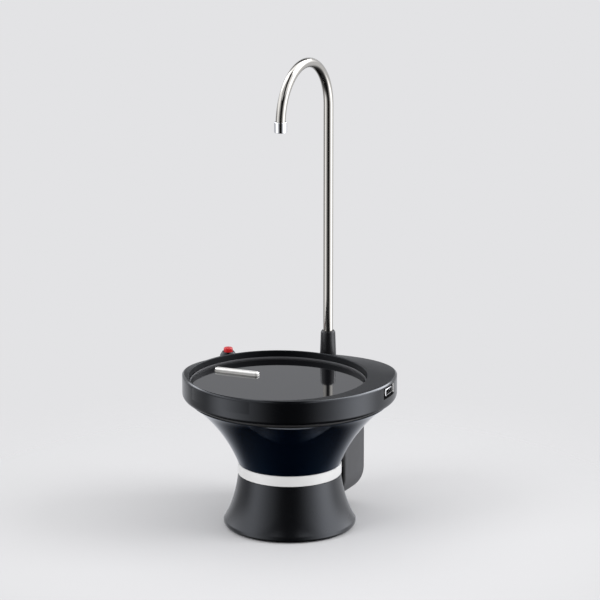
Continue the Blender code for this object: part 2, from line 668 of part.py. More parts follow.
def dish_housing(port_frame, bar_frame, spout_frame):
    """Head shell: crescent top, outer wall, pan, bosses and every opening in it."""
    dish = dish_outside()
    cavity = dish_cavity()
    pan = drum("pan_keeper", RECESS_RADIUS + PAN_WALL, PAN_UNDERSIDE, RIM_HEIGHT + CUT_OVERRUN,
               ROUND_LARGE, place=(RECESS_X, RECESS_Y, 0))
    pan.rotation_euler.z = HALF_FACET
    spout_boss = drum("spout_boss_keeper", COLLAR_RADIUS + DISH_WALL, COLLAR_SHOULDER_HEIGHT - SEAT_GAP,
                      RIM_HEIGHT, parent=spout_frame)
    keepers = [pan, spout_boss]
    for step, side in enumerate((-1, 1)):
        keepers.append(drum(f"socket_post_keeper_{step}", SOCKET_EAR_RADIUS,
                            COLLAR_SHOULDER_HEIGHT - SEAT_GAP, RIM_HEIGHT, parent=spout_frame,
                            place=(0, side * SOCKET_EAR_REACH, 0)))
    keepers.append(drum("button_post_keeper", BUTTON_POST_RADIUS,
                        BEZEL_FOOT_HEIGHT - BUTTON_FLOOR_THICKNESS, RIM_HEIGHT,
                        place=(BUTTON_X, BUTTON_Y, 0)))
    keepers.append(block("port_block_keeper",
                         (DISH_RADIUS - PORT_BLOCK_DEPTH, -PORT_BLOCK_WIDTH / 2, PORT_BLOCK_FOOT_HEIGHT),
                         (DISH_RADIUS + CUT_OVERRUN, PORT_BLOCK_WIDTH / 2, RIM_HEIGHT), port_frame))
    keepers.append(drum("board_post_keeper", BOARD_POST_RADIUS, board_top() + SEAT_GAP, RIM_HEIGHT, ROUND_TINY,
                        port_frame, (BOARD_INNER + BOARD_RADIAL / 2, BOARD_SCREW_REACH, 0)))
    cut(cavity, *keepers)
    cut(dish, cavity, recess_cutter())
    spout_hole = drum("spout_hole", COLLAR_RADIUS + SEAT_GAP, COLLAR_SHOULDER_HEIGHT - CUT_OVERRUN,
                      RIM_HEIGHT + CUT_OVERRUN, ROUND_SMALL, spout_frame)
    cut(dish, spout_hole)
    for step, side in enumerate((-1, 1)):
        cut(dish, drum(f"socket_pilot_{step}", SCREW_RADIUS + SEAT_GAP,
                       COLLAR_SHOULDER_HEIGHT - CUT_OVERRUN, COLLAR_SHOULDER_HEIGHT + DISH_WALL,
                       ROUND_TINY, spout_frame, (0, side * SOCKET_EAR_REACH, 0)))
    stem_hole = BUTTON_STEM_RADIUS + RUNNING_GAP
    seat = BEZEL_FOOT_HEIGHT - SEAT_GAP
    outline = [(0, seat - CUT_OVERRUN), (stem_hole, seat - CUT_OVERRUN), (stem_hole, seat),
               (BEZEL_RADIUS + SEAT_GAP, seat), (BEZEL_RADIUS + SEAT_GAP, RIM_HEIGHT + CUT_OVERRUN),
               (0, RIM_HEIGHT + CUT_OVERRUN)]
    cut(dish, turned("button_seat", outline, ROUND_SMALL, place=(BUTTON_X, BUTTON_Y, 0)))
    bar_slot = plate("bar_slot_in_pan", slot_outline(BAR_LENGTH + 2 * RUNNING_GAP, BAR_WIDTH + 2 * RUNNING_GAP),
                     PAN_UNDERSIDE - CUT_OVERRUN, PAN_HEIGHT + CUT_OVERRUN, bar_frame)
    cut(dish, bar_slot)
    for step, place in enumerate(dish_screw_places()):
        cut(dish, pan_screw_hole(f"dish_screw_hole_{step}", (*place, 0)))
    for step, side in enumerate((-1, 1)):
        cut(dish, pan_screw_hole(f"bracket_screw_hole_{step}", (side * BRACKET_SCREW_REACH, 0, 0), bar_frame))
    recess = block("port_recess", (DISH_RADIUS - PORT_RECESS_DEPTH, -PORT_RECESS_WIDTH / 2,
                                   PORT_HEIGHT - PORT_RECESS_HEIGHT / 2),
                   (DISH_RADIUS + CUT_OVERRUN, PORT_RECESS_WIDTH / 2,
                    PORT_HEIGHT + PORT_RECESS_HEIGHT / 2), port_frame)
    soften(recess, PORT_RECESS_FILLET)
    half_width = RECEPTACLE_WIDTH / 2 + SEAT_GAP
    half_height = RECEPTACLE_HEIGHT / 2 + SEAT_GAP
    aperture = block("port_aperture",
                     (DISH_RADIUS - PORT_BLOCK_DEPTH - CUT_OVERRUN, -half_width, PORT_HEIGHT - half_height),
                     (DISH_RADIUS, half_width, PORT_HEIGHT + half_height), port_frame)
    cut(dish, recess, aperture)
    cut(dish, drum("board_pilot", SCREW_RADIUS + SEAT_GAP, board_top() - CUT_OVERRUN,
                   board_top() + CUT_OVERRUN, ROUND_TINY, port_frame,
                   (BOARD_INNER + BOARD_RADIAL / 2, BOARD_SCREW_REACH, 0)))
    return finish(dish, (0.012, 0.012, 0.014), 0.12)


def tray(bar_frame):
    """Glossy tray plate with the slot that the press bar sinks into, and the bead round its edge."""
    foot = TRAY_HEIGHT - TRAY_THICKNESS
    seal_outer = RECESS_RADIUS - SEAT_GAP
    seal_inner = seal_outer - GASKET_WIDTH
    outer = seal_inner - SEAT_GAP
    outline = [(0, foot), (outer, foot), (outer, TRAY_HEIGHT), (0, TRAY_HEIGHT)]
    top = turned("tray_plate", outline, ROUND_LARGE, place=(RECESS_X, RECESS_Y, 0))
    slot = plate("bar_slot_in_tray", slot_outline(BAR_LENGTH + 2 * RUNNING_GAP, BAR_WIDTH + 2 * RUNNING_GAP),
                 foot - CUT_OVERRUN, TRAY_HEIGHT + CUT_OVERRUN, bar_frame)
    cut(top, slot)
    finish(top, (0.010, 0.010, 0.012), 0.04)
    crown = TRAY_HEIGHT + SEAT_GAP + GASKET_HEIGHT
    bead = [(seal_outer, foot), (seal_outer, crown), (seal_outer - GASKET_WIDTH / 2, crown),
            (seal_inner, crown - GASKET_HEIGHT / 2), (seal_inner, foot)]
    ring = turned("tray_gasket", bead, ROUND_LARGE, place=(RECESS_X, RECESS_Y, 0))
    finish(ring, (0.06, 0.06, 0.065), 0.5)


def funnel_curve():
    return flare((FUNNEL_FOOT_RADIUS, FUNNEL_FOOT_HEIGHT), (FUNNEL_HANDLE_RADIUS, FUNNEL_HANDLE_HEIGHT),
                 (FUNNEL_TOP_RADIUS, FUNNEL_TOP_HEIGHT))


def skirt_curve():
    return flare((FUNNEL_FOOT_RADIUS, SKIRT_TOP_HEIGHT), (SKIRT_HANDLE_RADIUS, SKIRT_HANDLE_HEIGHT),
                 (SKIRT_BULGE_RADIUS, SKIRT_BULGE_HEIGHT))


def holder_foot():
    return CELL_HEIGHT - CELL_RADIUS - SEAT_GAP - HOLDER_WALL


def holder_post_places():
    return [(CELL_AXIS, side * HOLDER_PEG_REACH, 0) for side in (-1, 1)]


def neck_screw_places():
    """Plan places of the screws that join the skirt to the funnel."""
    places = []
    for step in range(NECK_SCREW_COUNT):
        angle = SPOUT_ANGLE + 2 * math.pi * (step + 0.5) / NECK_SCREW_COUNT
        places.append((NECK_SCREW_CIRCLE * math.cos(angle), NECK_SCREW_CIRCLE * math.sin(angle), 0))
    return places


def funnel_body(pump_frame):
    """Flared body shell with its posts, spigot and the window towards the rear housing."""
    curve = funnel_curve()
    outline = [(0, FUNNEL_SPIGOT_FOOT), (SPIGOT_RADIUS, FUNNEL_SPIGOT_FOOT),
               (SPIGOT_RADIUS, FUNNEL_FOOT_HEIGHT)] + curve
    outline += [(FUNNEL_TOP_RADIUS, FUNNEL_RIM_HEIGHT), (0, FUNNEL_RIM_HEIGHT)]
    body = turned("funnel_body", outline, ROUND_MIDDLE)
    floor = FUNNEL_SPIGOT_FOOT + FUNNEL_FLOOR_THICKNESS
    inner_curve = offset(curve, FUNNEL_WALL)
    rim_radius = FUNNEL_TOP_RADIUS - FUNNEL_RIM_WALL
    inner_curve = [point for point in inner_curve if point[0] < rim_radius]
    hollow = [(0, FUNNEL_SPIGOT_FOOT - CUT_OVERRUN), (FUNNEL_FLOOR_OPENING, FUNNEL_SPIGOT_FOOT - CUT_OVERRUN),
              (FUNNEL_FLOOR_OPENING, floor), (SPIGOT_RADIUS - FUNNEL_WALL, floor)] + inner_curve
    hollow += [(rim_radius, FUNNEL_TOP_HEIGHT), (rim_radius, FUNNEL_RIM_HEIGHT + CUT_OVERRUN),
               (0, FUNNEL_RIM_HEIGHT + CUT_OVERRUN)]
    cavity = turned("funnel_cavity", hollow, ROUND_MIDDLE)
    keepers = []
    for step, place in enumerate(dish_screw_places()):
        keepers.append(drum(f"dish_post_keeper_{step}", POST_RADIUS, FUNNEL_FOOT_HEIGHT,
                            FUNNEL_RIM_HEIGHT - SEAT_GAP, place=(*place, 0)))
    for step, place in enumerate(neck_screw_places()):
        keepers.append(drum(f"neck_boss_keeper_{step}", NECK_BOSS_RADIUS, FUNNEL_SPIGOT_FOOT,
                            floor + NECK_BOSS_HEIGHT, place=place))
    for step, place in enumerate(holder_post_places()):
        keepers.append(drum(f"holder_post_keeper_{step}", HOLDER_POST_RADIUS, FUNNEL_SPIGOT_FOOT,
                            holder_foot() - SEAT_GAP, parent=pump_frame, place=place))
        keepers.append(drum(f"holder_peg_keeper_{step}", HOLDER_PEG_RADIUS, holder_foot() - CUT_OVERRUN,
                            holder_foot() + HOLDER_WALL, ROUND_TINY, pump_frame, place))
    for step, side in enumerate((-1, 1)):
        keepers.append(lying_drum(f"housing_boss_keeper_{step}", POST_RADIUS,
                                  (housing_screw_tip() - POST_RADIUS, side * HOUSING_SCREW_REACH,
                                   HOUSING_UPPER_SCREW_HEIGHT),
                                  (HOUSING_BACK, side * HOUSING_SCREW_REACH, HOUSING_UPPER_SCREW_HEIGHT),
                                  pump_frame))
    cut(cavity, *keepers)
    cut(body, cavity)
    for step, place in enumerate(dish_screw_places()):
        top = FUNNEL_RIM_HEIGHT
        extension = drum(f"dish_post_{step}", POST_RADIUS, top - CUT_OVERRUN, PAN_UNDERSIDE - SEAT_GAP,
                         place=(*place, 0))
        join(body, extension)
        cut(body, drum(f"dish_post_pilot_{step}", SCREW_RADIUS + SEAT_GAP,
                       PAN_HEIGHT - DISH_SCREW_LENGTH - CUT_OVERRUN, PAN_HEIGHT, ROUND_TINY,
                       place=(*place, 0)))
    for step, place in enumerate(neck_screw_places()):
        cut(body, drum(f"neck_pilot_{step}", SCREW_RADIUS + SEAT_GAP, FUNNEL_SPIGOT_FOOT - CUT_OVERRUN,
                       floor + NECK_BOSS_HEIGHT - FUNNEL_WALL, ROUND_TINY, place=place))
    for step, side in enumerate((-1, 1)):
        cut(body, lying_drum(f"housing_pilot_{step}", SCREW_RADIUS + SEAT_GAP,
                             (housing_screw_tip() - SEAT_GAP, side * HOUSING_SCREW_REACH,
                              HOUSING_UPPER_SCREW_HEIGHT),
                             (HOUSING_BACK, side * HOUSING_SCREW_REACH, HOUSING_UPPER_SCREW_HEIGHT),
                             pump_frame, ROUND_TINY))
    window = block("rear_window", (SPIGOT_RADIUS, -WINDOW_HALF_WIDTH, WINDOW_FOOT_HEIGHT),
                   (WINDOW_BACK, WINDOW_HALF_WIDTH, WINDOW_TOP_HEIGHT), pump_frame)
    hose_notch = drum("hose_notch", HOSE_RADIUS + 2 * RUNNING_GAP, WINDOW_TOP_HEIGHT - CUT_OVERRUN,
                      FUNNEL_RIM_HEIGHT - CUT_OVERRUN, parent=pump_frame, place=(SPOUT_REACH, 0, 0))
    cut(body, window, hose_notch)
    return finish(body, (0.010, 0.012, 0.018), 0.10)


def housing_screw_tip():
    """How far from the funnel's axis the upper housing screws end."""
    surface = radius_at(funnel_curve(), HOUSING_UPPER_SCREW_HEIGHT)
    return math.sqrt(surface ** 2 - HOUSING_SCREW_REACH ** 2) - HOUSING_SCREW_BITE


def lower_screw_tip():
    """How far from the axis the lower housing screw ends, inside the skirt."""
    return radius_at(skirt_curve(), HOUSING_LOWER_SCREW_HEIGHT) - HOUSING_SCREW_BITE


def radius_at(curve, height):
    """Radius of a flare at a height, read from its own points."""
    for (first_radius, first_height), (second_radius, second_height) in zip(curve, curve[1:]):
        low, high = sorted((first_height, second_height))
        if low <= height <= high:
            share = (height - first_height) / (second_height - first_height)
            return first_radius + (second_radius - first_radius) * share
    return curve[-1][0]


def waist_band():
    """Pale ring that covers the joint between the funnel and the skirt."""
    inner = BAND_RADIUS - BAND_THICKNESS
    foot, top = BAND_FOOT_HEIGHT, BAND_FOOT_HEIGHT + BAND_HEIGHT
    outline = [(inner, foot), (BAND_RADIUS - BAND_CHAMFER, foot), (BAND_RADIUS, foot + BAND_CHAMFER),
               (BAND_RADIUS, top - BAND_CHAMFER), (BAND_RADIUS - BAND_CHAMFER, top), (inner, top)]
    band = turned("waist_band", outline, ROUND_MIDDLE)
    finish(band, (0.80, 0.80, 0.80), 0.35)


def neck_skirt(pump_frame):
    """Lower flare, the bottle socket inside it and the web between them."""
    curve = skirt_curve()
    rim_centre = (SKIRT_BULGE_RADIUS - SKIRT_RIM_FILLET, SKIRT_RIM_FILLET)
    rim = arc(rim_centre, SKIRT_RIM_FILLET, 0, -90)
    rim = [(radius, height) for radius, height in rim if height < SKIRT_BULGE_HEIGHT]
    outline = [(0, SKIRT_SPIGOT_TOP), (SPIGOT_RADIUS, SKIRT_SPIGOT_TOP), (SPIGOT_RADIUS, SKIRT_TOP_HEIGHT)]
    outline += curve + rim + [(0, 0)]
    skirt = turned("neck_skirt", outline, ROUND_MIDDLE)
    web_under = SKIRT_TOP_HEIGHT - NECK_WEB_THICKNESS
    socket_outer = NECK_SOCKET_RADIUS + NECK_SOCKET_WALL
    seat_radius = SKIRT_BULGE_RADIUS - SKIRT_RIM_FILLET - SKIRT_SEAT_WIDTH
    inner_curve = [(min(radius, seat_radius), height) for radius, height in offset(curve, -SKIRT_WALL)
                   if height < web_under]
    room = [(0, -CUT_OVERRUN), (inner_curve[-1][0], -CUT_OVERRUN)] + list(reversed(inner_curve))
    room += [(inner_curve[0][0], web_under), (socket_outer, web_under), (socket_outer, NECK_SOCKET_MOUTH_HEIGHT),
             (NECK_SOCKET_RADIUS, NECK_SOCKET_MOUTH_HEIGHT), (NECK_SOCKET_RADIUS, web_under), (0, web_under)]
    hollow = turned("skirt_cavity", room, ROUND_MIDDLE)
    lower_boss = lying_drum("lower_boss_keeper", POST_RADIUS,
                            (lower_screw_tip() - POST_RADIUS, 0, HOUSING_LOWER_SCREW_HEIGHT),
                            (HOUSING_BACK, 0, HOUSING_LOWER_SCREW_HEIGHT), pump_frame)
    cut(hollow, lower_boss)
    well_radius = SPIGOT_RADIUS - SKIRT_WALL
    well = drum("spigot_well", well_radius, SKIRT_TOP_HEIGHT, SKIRT_SPIGOT_TOP + CUT_OVERRUN, ROUND_MIDDLE)
    stem_hole = drum("intake_hole", INTAKE_STEM_RADIUS + SEAT_GAP, web_under - CUT_OVERRUN,
                     SKIRT_TOP_HEIGHT + CUT_OVERRUN)
    cut(skirt, hollow, well, stem_hole)
    for step, place in enumerate(neck_screw_places()):
        cut(skirt, drum(f"neck_screw_hole_{step}", SCREW_RADIUS + RUNNING_GAP, web_under - CUT_OVERRUN,
                        SKIRT_TOP_HEIGHT + CUT_OVERRUN, ROUND_TINY, place=place))
    cut(skirt, lying_drum("lower_pilot", SCREW_RADIUS + SEAT_GAP,
                          (lower_screw_tip() - SEAT_GAP, 0, HOUSING_LOWER_SCREW_HEIGHT),
                          (HOUSING_BACK, 0, HOUSING_LOWER_SCREW_HEIGHT), pump_frame, ROUND_TINY))
    return finish(skirt, (0.022, 0.022, 0.025), 0.30)


def neck_seal():
    """Soft ring that grips the bottle's neck inside the socket."""
    outer = NECK_SOCKET_RADIUS - SEAT_GAP
    inner = outer - NECK_SEAL_THICKNESS
    top = NECK_SEAL_BASE + NECK_SEAL_HEIGHT
    outline = [(inner, NECK_SEAL_BASE + NECK_SEAL_THICKNESS), (outer, NECK_SEAL_BASE), (outer, top),
               (inner, top - NECK_SEAL_THICKNESS)]
    finish(turned("neck_seal", outline, ROUND_MIDDLE), (0.55, 0.55, 0.56), 0.7)


def housing_outline(inset):
    """U-shaped outline of the rear housing across its width, open at the top."""
    half = HOUSING_HALF_WIDTH - inset
    foot = HOUSING_FOOT_HEIGHT + inset
    radius = HOUSING_CORNER_RADIUS - inset
    top = DISH_FOOT_HEIGHT + CUT_OVERRUN
    right = arc((half - radius, foot + radius), radius, 0, -90, CURVE_STEPS)
    left = arc((-half + radius, foot + radius), radius, -90, -180, CURVE_STEPS)
    return [(half, top)] + right + left + [(-half, top)]


def across(name, outline, near, far, parent):
    """Raise an outline of (width, height) points along the parent's +X."""
    item = plate(name, outline, near, far, parent)
    item.rotation_euler = (math.radians(90), 0, math.radians(90))
    return item


def body_envelope():
    """The funnel, band and skirt as one turned shape with a fitting gap round it."""
    lower = list(reversed(offset(skirt_curve(), SEAT_GAP)))
    upper = offset(funnel_curve(), -SEAT_GAP)
    gap = BAND_RADIUS + SEAT_GAP
    foot = HOUSING_FOOT_HEIGHT - CUT_OVERRUN
    outline = [(0, foot - CUT_OVERRUN), (SKIRT_BULGE_RADIUS + SEAT_GAP, foot - CUT_OVERRUN)]
    outline += lower + [(gap, SKIRT_TOP_HEIGHT), (gap, FUNNEL_FOOT_HEIGHT)] + upper
    over = HOUSING_BACK + HOUSING_HALF_WIDTH
    outline += [(LIP_RADIUS, DISH_FOOT_HEIGHT - SEAT_GAP), (over, DISH_FOOT_HEIGHT - SEAT_GAP),
                (over, DISH_FOOT_HEIGHT + 2 * CUT_OVERRUN), (0, DISH_FOOT_HEIGHT + 2 * CUT_OVERRUN)]
    return turned("body_envelope", outline, ROUND_MIDDLE)


def housing_screws():
    """Reach across, height and tip of each screw that holds the rear housing."""
    upper = [(side * HOUSING_SCREW_REACH, HOUSING_UPPER_SCREW_HEIGHT, housing_screw_tip())
             for side in (-1, 1)]
    return upper + [(0, HOUSING_LOWER_SCREW_HEIGHT, lower_screw_tip())]


def rear_housing(pump_frame):
    """Deep shell behind the waist that covers the pump, fixed from behind by three screws."""
    shell = across("rear_housing", housing_outline(0), FUNNEL_FOOT_RADIUS, HOUSING_BACK, pump_frame)
    soften(shell, HOUSING_EDGE_FILLET, 3)
    room = across("housing_cavity", housing_outline(HOUSING_WALL), FUNNEL_FOOT_RADIUS - CUT_OVERRUN,
                  HOUSING_INSIDE, pump_frame)
    room.location.z = CUT_OVERRUN / 2
    posts = []
    for step, (reach, height, _) in enumerate(housing_screws()):
        posts.append(lying_drum(f"housing_post_keeper_{step}", POST_RADIUS, (FUNNEL_FOOT_RADIUS, reach, height),
                                (HOUSING_BACK, reach, height), pump_frame))
    for step, side in enumerate((-1, 1)):
        height = CLAMP_FOOT_HEIGHT + CLAMP_HEIGHT / 2
        posts.append(lying_drum(f"clamp_post_keeper_{step}", CLAMP_POST_RADIUS,
                                (CLAMP_PLANE + SEAT_GAP, side * CLAMP_EAR_REACH, height),
                                (HOUSING_BACK, side * CLAMP_EAR_REACH, height), pump_frame))
    cut(room, *posts)
    cut(shell, room, body_envelope())
    for step, (reach, height, _) in enumerate(housing_screws()):
        cut(shell, lying_drum(f"housing_screw_hole_{step}", SCREW_RADIUS + RUNNING_GAP,
                              (SPIGOT_RADIUS, reach, height), (HOUSING_BACK + CUT_OVERRUN, reach, height),
                              pump_frame, ROUND_TINY))
        seat = HOUSING_BACK - SCREW_HEAD_HEIGHT - RUNNING_GAP
        cut(shell, lying_drum(f"housing_screw_seat_{step}", SCREW_HEAD_RADIUS + RUNNING_GAP,
                              (seat, reach, height), (HOUSING_BACK + CUT_OVERRUN, reach, height),
                              pump_frame, ROUND_TINY))
        screw(f"housing_screw_{step + 1}", seat - housing_screws()[step][2], pump_frame,
              (seat + SEAT_GAP / 2, reach, height), (-1, 0, 0))
    height = CLAMP_FOOT_HEIGHT + CLAMP_HEIGHT / 2
    for step, side in enumerate((-1, 1)):
        cut(shell, lying_drum(f"clamp_pilot_{step}", SCREW_RADIUS + SEAT_GAP,
                              (CLAMP_PLANE, side * CLAMP_EAR_REACH, height),
                              (HOUSING_INSIDE - SEAT_GAP, side * CLAMP_EAR_REACH, height),
                              pump_frame, ROUND_TINY))
    finish(shell, (0.05, 0.05, 0.053), 0.45)


def motor(pump_frame):
    """Motor can, end cap and the turning armature."""
    place = (PUMP_AXIS, 0, 0)
    foot, top = MOTOR_FOOT_HEIGHT, MOTOR_TOP_HEIGHT - MOTOR_NOSE_HEIGHT
    inner = MOTOR_RADIUS - MOTOR_WALL
    hole = SHAFT_RADIUS + SEAT_GAP
    can = [(inner, foot + MOTOR_CAP_THICKNESS), (MOTOR_RADIUS, foot + MOTOR_CAP_THICKNESS),
           (MOTOR_RADIUS, top), (MOTOR_NOSE_RADIUS, top), (MOTOR_NOSE_RADIUS, MOTOR_TOP_HEIGHT),
           (hole, MOTOR_TOP_HEIGHT), (hole, top - MOTOR_WALL), (inner, top - MOTOR_WALL)]
    finish(turned("motor_can", can, ROUND_SMALL, pump_frame, place), (0.6, 0.6, 0.6), 0.35, 1.0)
    plug = inner - SEAT_GAP
    cap_top = foot + MOTOR_CAP_THICKNESS - SEAT_GAP
    cap = [(0, foot), (MOTOR_RADIUS, foot), (MOTOR_RADIUS, cap_top), (plug, cap_top),
           (plug, cap_top + MOTOR_CAP_THICKNESS), (hole, cap_top + MOTOR_CAP_THICKNESS),
           (hole, cap_top), (0, cap_top)]
    finish(turned("motor_end_cap", cap, ROUND_SMALL, pump_frame, place), (0.05, 0.05, 0.05), 0.5)
    middle = (foot + top) / 2 + MOTOR_CAP_THICKNESS / 2
    core_foot, core_top = middle - ARMATURE_LENGTH / 2, middle + ARMATURE_LENGTH / 2
    shaft_foot = cap_top + SEAT_GAP
    shaft_top = PUMP_FOOT_HEIGHT + PUMP_FRAME_WALL + SEAT_GAP
    spindle = [(0, shaft_foot), (SHAFT_RADIUS, shaft_foot), (SHAFT_RADIUS, core_foot),
               (ARMATURE_RADIUS, core_foot), (ARMATURE_RADIUS, core_top), (SHAFT_RADIUS, core_top),
               (SHAFT_RADIUS, shaft_top), (0, shaft_top)]
    armature = turned("motor_armature", spindle, ROUND_SMALL, pump_frame, place)
    finish(armature, (0.55, 0.28, 0.12), 0.4, 1.0)


def pump_head_parts(pump_frame):
    """Frame, crank, wobble plate, diaphragm, valve plate and ported head, from the motor upwards."""
    place = (PUMP_AXIS, 0, 0)
    foot = PUMP_FOOT_HEIGHT
    inner = PUMP_RADIUS - PUMP_FRAME_WALL
    shaft_hole = SHAFT_RADIUS + SEAT_GAP
    frame = [(shaft_hole, foot), (PUMP_RADIUS, foot), (PUMP_RADIUS, foot + PUMP_FRAME_HEIGHT),
             (inner, foot + PUMP_FRAME_HEIGHT), (inner, foot + PUMP_FRAME_WALL),
             (shaft_hole, foot + PUMP_FRAME_WALL)]
    finish(turned("pump_frame", frame, ROUND_SMALL, pump_frame, place), (0.75, 0.75, 0.74), 0.45)
    crank_foot = foot + PUMP_FRAME_WALL + 2 * SEAT_GAP
    crank_top = crank_foot + CRANK_HEIGHT
    disc = [(0, crank_foot), (CRANK_RADIUS, crank_foot), (CRANK_RADIUS, crank_top), (0, crank_top)]
    crank = turned("pump_crank", disc, ROUND_SMALL, pump_frame, place)
    pin = drum("crank_pin", CRANK_PIN_RADIUS, crank_top - CRANK_HEIGHT / 2, crank_top + CRANK_PIN_LENGTH,
               ROUND_TINY, crank, (CRANK_OFFSET, 0, 0))
    join(crank, pin)
    finish(crank, (0.85, 0.84, 0.78), 0.4)
    wobble_foot = crank_top + CRANK_PIN_LENGTH + SEAT_GAP
    wobble_top = wobble_foot + WOBBLE_THICKNESS
    hub = [(0, wobble_foot), (WOBBLE_HUB_RADIUS, wobble_foot), (WOBBLE_HUB_RADIUS, wobble_top), (0, wobble_top)]
    wobble = turned("wobble_plate", hub, ROUND_SMALL, pump_frame, place)
    for step in range(CHAMBER_COUNT):
        arm = block(f"wobble_arm_{step}", (0, -WOBBLE_ARM_HALF_WIDTH, wobble_foot + SEAT_GAP),
                    (WOBBLE_RADIUS, WOBBLE_ARM_HALF_WIDTH, wobble_top - SEAT_GAP), wobble)
        arm.rotation_euler.z = 2 * math.pi * step / CHAMBER_COUNT
        join(wobble, arm)
    finish(wobble, (0.85, 0.84, 0.78), 0.4)
    web = [(0, DIAPHRAGM_HEIGHT), (PUMP_RADIUS, DIAPHRAGM_HEIGHT),
           (PUMP_RADIUS, DIAPHRAGM_HEIGHT + DIAPHRAGM_THICKNESS), (0, DIAPHRAGM_HEIGHT + DIAPHRAGM_THICKNESS)]
    diaphragm = turned("pump_diaphragm", web, ROUND_SMALL, pump_frame, place)
    plate_top = VALVE_PLATE_HEIGHT + VALVE_PLATE_THICKNESS
    disc = [(0, VALVE_PLATE_HEIGHT), (PUMP_RADIUS, VALVE_PLATE_HEIGHT), (PUMP_RADIUS, plate_top), (0, plate_top)]
    valves = turned("valve_plate", disc, ROUND_SMALL, pump_frame, place)
    for step in range(CHAMBER_COUNT):
        angle = 2 * math.pi * step / CHAMBER_COUNT
        where = (CUP_CIRCLE * math.cos(angle), CUP_CIRCLE * math.sin(angle), 0)
        cup = drum(f"diaphragm_cup_{step}", CUP_RADIUS, DIAPHRAGM_HEIGHT - CUP_DEPTH,
                   DIAPHRAGM_HEIGHT + DIAPHRAGM_THICKNESS / 2, ROUND_TINY, diaphragm, where)
        join(diaphragm, cup)
        hollow = drum(f"diaphragm_hollow_{step}", CUP_RADIUS - DIAPHRAGM_THICKNESS / 2,
                      DIAPHRAGM_HEIGHT - CUP_DEPTH + DIAPHRAGM_THICKNESS,
                      DIAPHRAGM_HEIGHT + DIAPHRAGM_THICKNESS + CUT_OVERRUN, ROUND_TINY, diaphragm, where)
        cut(diaphragm, hollow)
        hole = drum(f"valve_hole_{step}", VALVE_HOLE_RADIUS, VALVE_PLATE_HEIGHT - CUT_OVERRUN,
                    plate_top + CUT_OVERRUN, ROUND_TINY, valves, where)
        cut(valves, hole)
    finish(diaphragm, (0.10, 0.10, 0.10), 0.7)
    finish(valves, (0.75, 0.75, 0.74), 0.45)
    cap = [(0, PUMP_HEAD_FOOT), (PUMP_RADIUS, PUMP_HEAD_FOOT), (PUMP_RADIUS, PUMP_HEAD_TOP), (0, PUMP_HEAD_TOP)]
    head = turned("pump_head", cap, ROUND_SMALL, pump_frame, place)
    for step, side in enumerate((-1, 1)):
        where = (side * PORT_OFFSET, 0, 0)
        port = [(0, PUMP_HEAD_TOP - PUMP_HEAD_HEIGHT / 2)]
        port += barb_outline(PUMP_HEAD_TOP, PUMP_HEAD_TOP + BARB_LENGTH)
        port[1:1] = [(BARB_RADIUS - BARB_RIDGE, PUMP_HEAD_TOP - PUMP_HEAD_HEIGHT / 2)]
        port += [(0, PUMP_HEAD_TOP + BARB_LENGTH)]
        join(head, turned(f"pump_port_{step}", port, ROUND_TINY, head, where))
    for step, side in enumerate((-1, 1)):
        where = (side * PORT_OFFSET, 0, 0)
        cut(head, drum(f"pump_port_bore_{step}", BARB_RADIUS / 2, PUMP_HEAD_TOP - PUMP_HEAD_HEIGHT / 3,
                       PUMP_HEAD_TOP + BARB_LENGTH + CUT_OVERRUN, ROUND_TINY, head, where))
    finish(head, (0.75, 0.75, 0.74), 0.45)


def motor_clamp(pump_frame):
    """Strap round the motor's front with an ear and a screw on each side."""
    inner = MOTOR_RADIUS + SEAT_GAP
    outer = inner + CLAMP_THICKNESS
    bend = math.degrees(math.asin((CLAMP_PLANE - CLAMP_THICKNESS - PUMP_AXIS) / outer))
    inner_bend = math.degrees(math.asin((CLAMP_PLANE - PUMP_AXIS) / inner))
    outline = arc((0, 0), outer, 90 - bend, 270 + bend, CURVE_STEPS * 2)
    ear = CLAMP_EAR_REACH + CLAMP_EAR_HALF_WIDTH
    plane = CLAMP_PLANE - PUMP_AXIS
    outline += [(plane - CLAMP_THICKNESS, -ear), (plane, -ear)]
    outline += arc((0, 0), inner, 270 + inner_bend, 90 - inner_bend, CURVE_STEPS * 2)
    outline += [(plane, ear), (plane - CLAMP_THICKNESS, ear)]
    place = (PUMP_AXIS, 0, 0)
    strap = plate("motor_clamp", outline, CLAMP_FOOT_HEIGHT, CLAMP_FOOT_HEIGHT + CLAMP_HEIGHT, pump_frame, place)
    height = CLAMP_FOOT_HEIGHT + CLAMP_HEIGHT / 2
    for step, side in enumerate((-1, 1)):
        where = side * CLAMP_EAR_REACH
        cut(strap, lying_drum(f"clamp_hole_{step}", SCREW_RADIUS + RUNNING_GAP,
                              (plane - CUT_OVERRUN, where, height), (plane + CUT_OVERRUN, where, height),
                              strap, ROUND_TINY))
        screw(f"clamp_screw_{step + 1}", CLAMP_THICKNESS + HOUSING_WALL * 2, pump_frame,
              (CLAMP_PLANE - CLAMP_THICKNESS - SEAT_GAP / 2, where, height), (1, 0, 0))
    finish(strap, (0.6, 0.6, 0.6), 0.35, 1.0)


def spout_route():
    """Centre line of the tube from its foot, over the arch and down to the nozzle."""
    reach = math.hypot(NOZZLE_X - SPOUT_X, NOZZLE_Y - SPOUT_Y)
    bend = reach / 2
    steps = ROUND_SMALL
    route = [Vector((0, 0, TUBE_FOOT_HEIGHT)), Vector((0, 0, ARCH_CENTRE_HEIGHT))]
    for step in range(1, steps + 1):
        angle = math.pi * step / steps
        route.append(Vector((bend - bend * math.cos(angle), 0, ARCH_CENTRE_HEIGHT + bend * math.sin(angle))))
    route.append(Vector((reach, 0, NOZZLE_FOOT_HEIGHT + NOZZLE_LIP)))
    return route


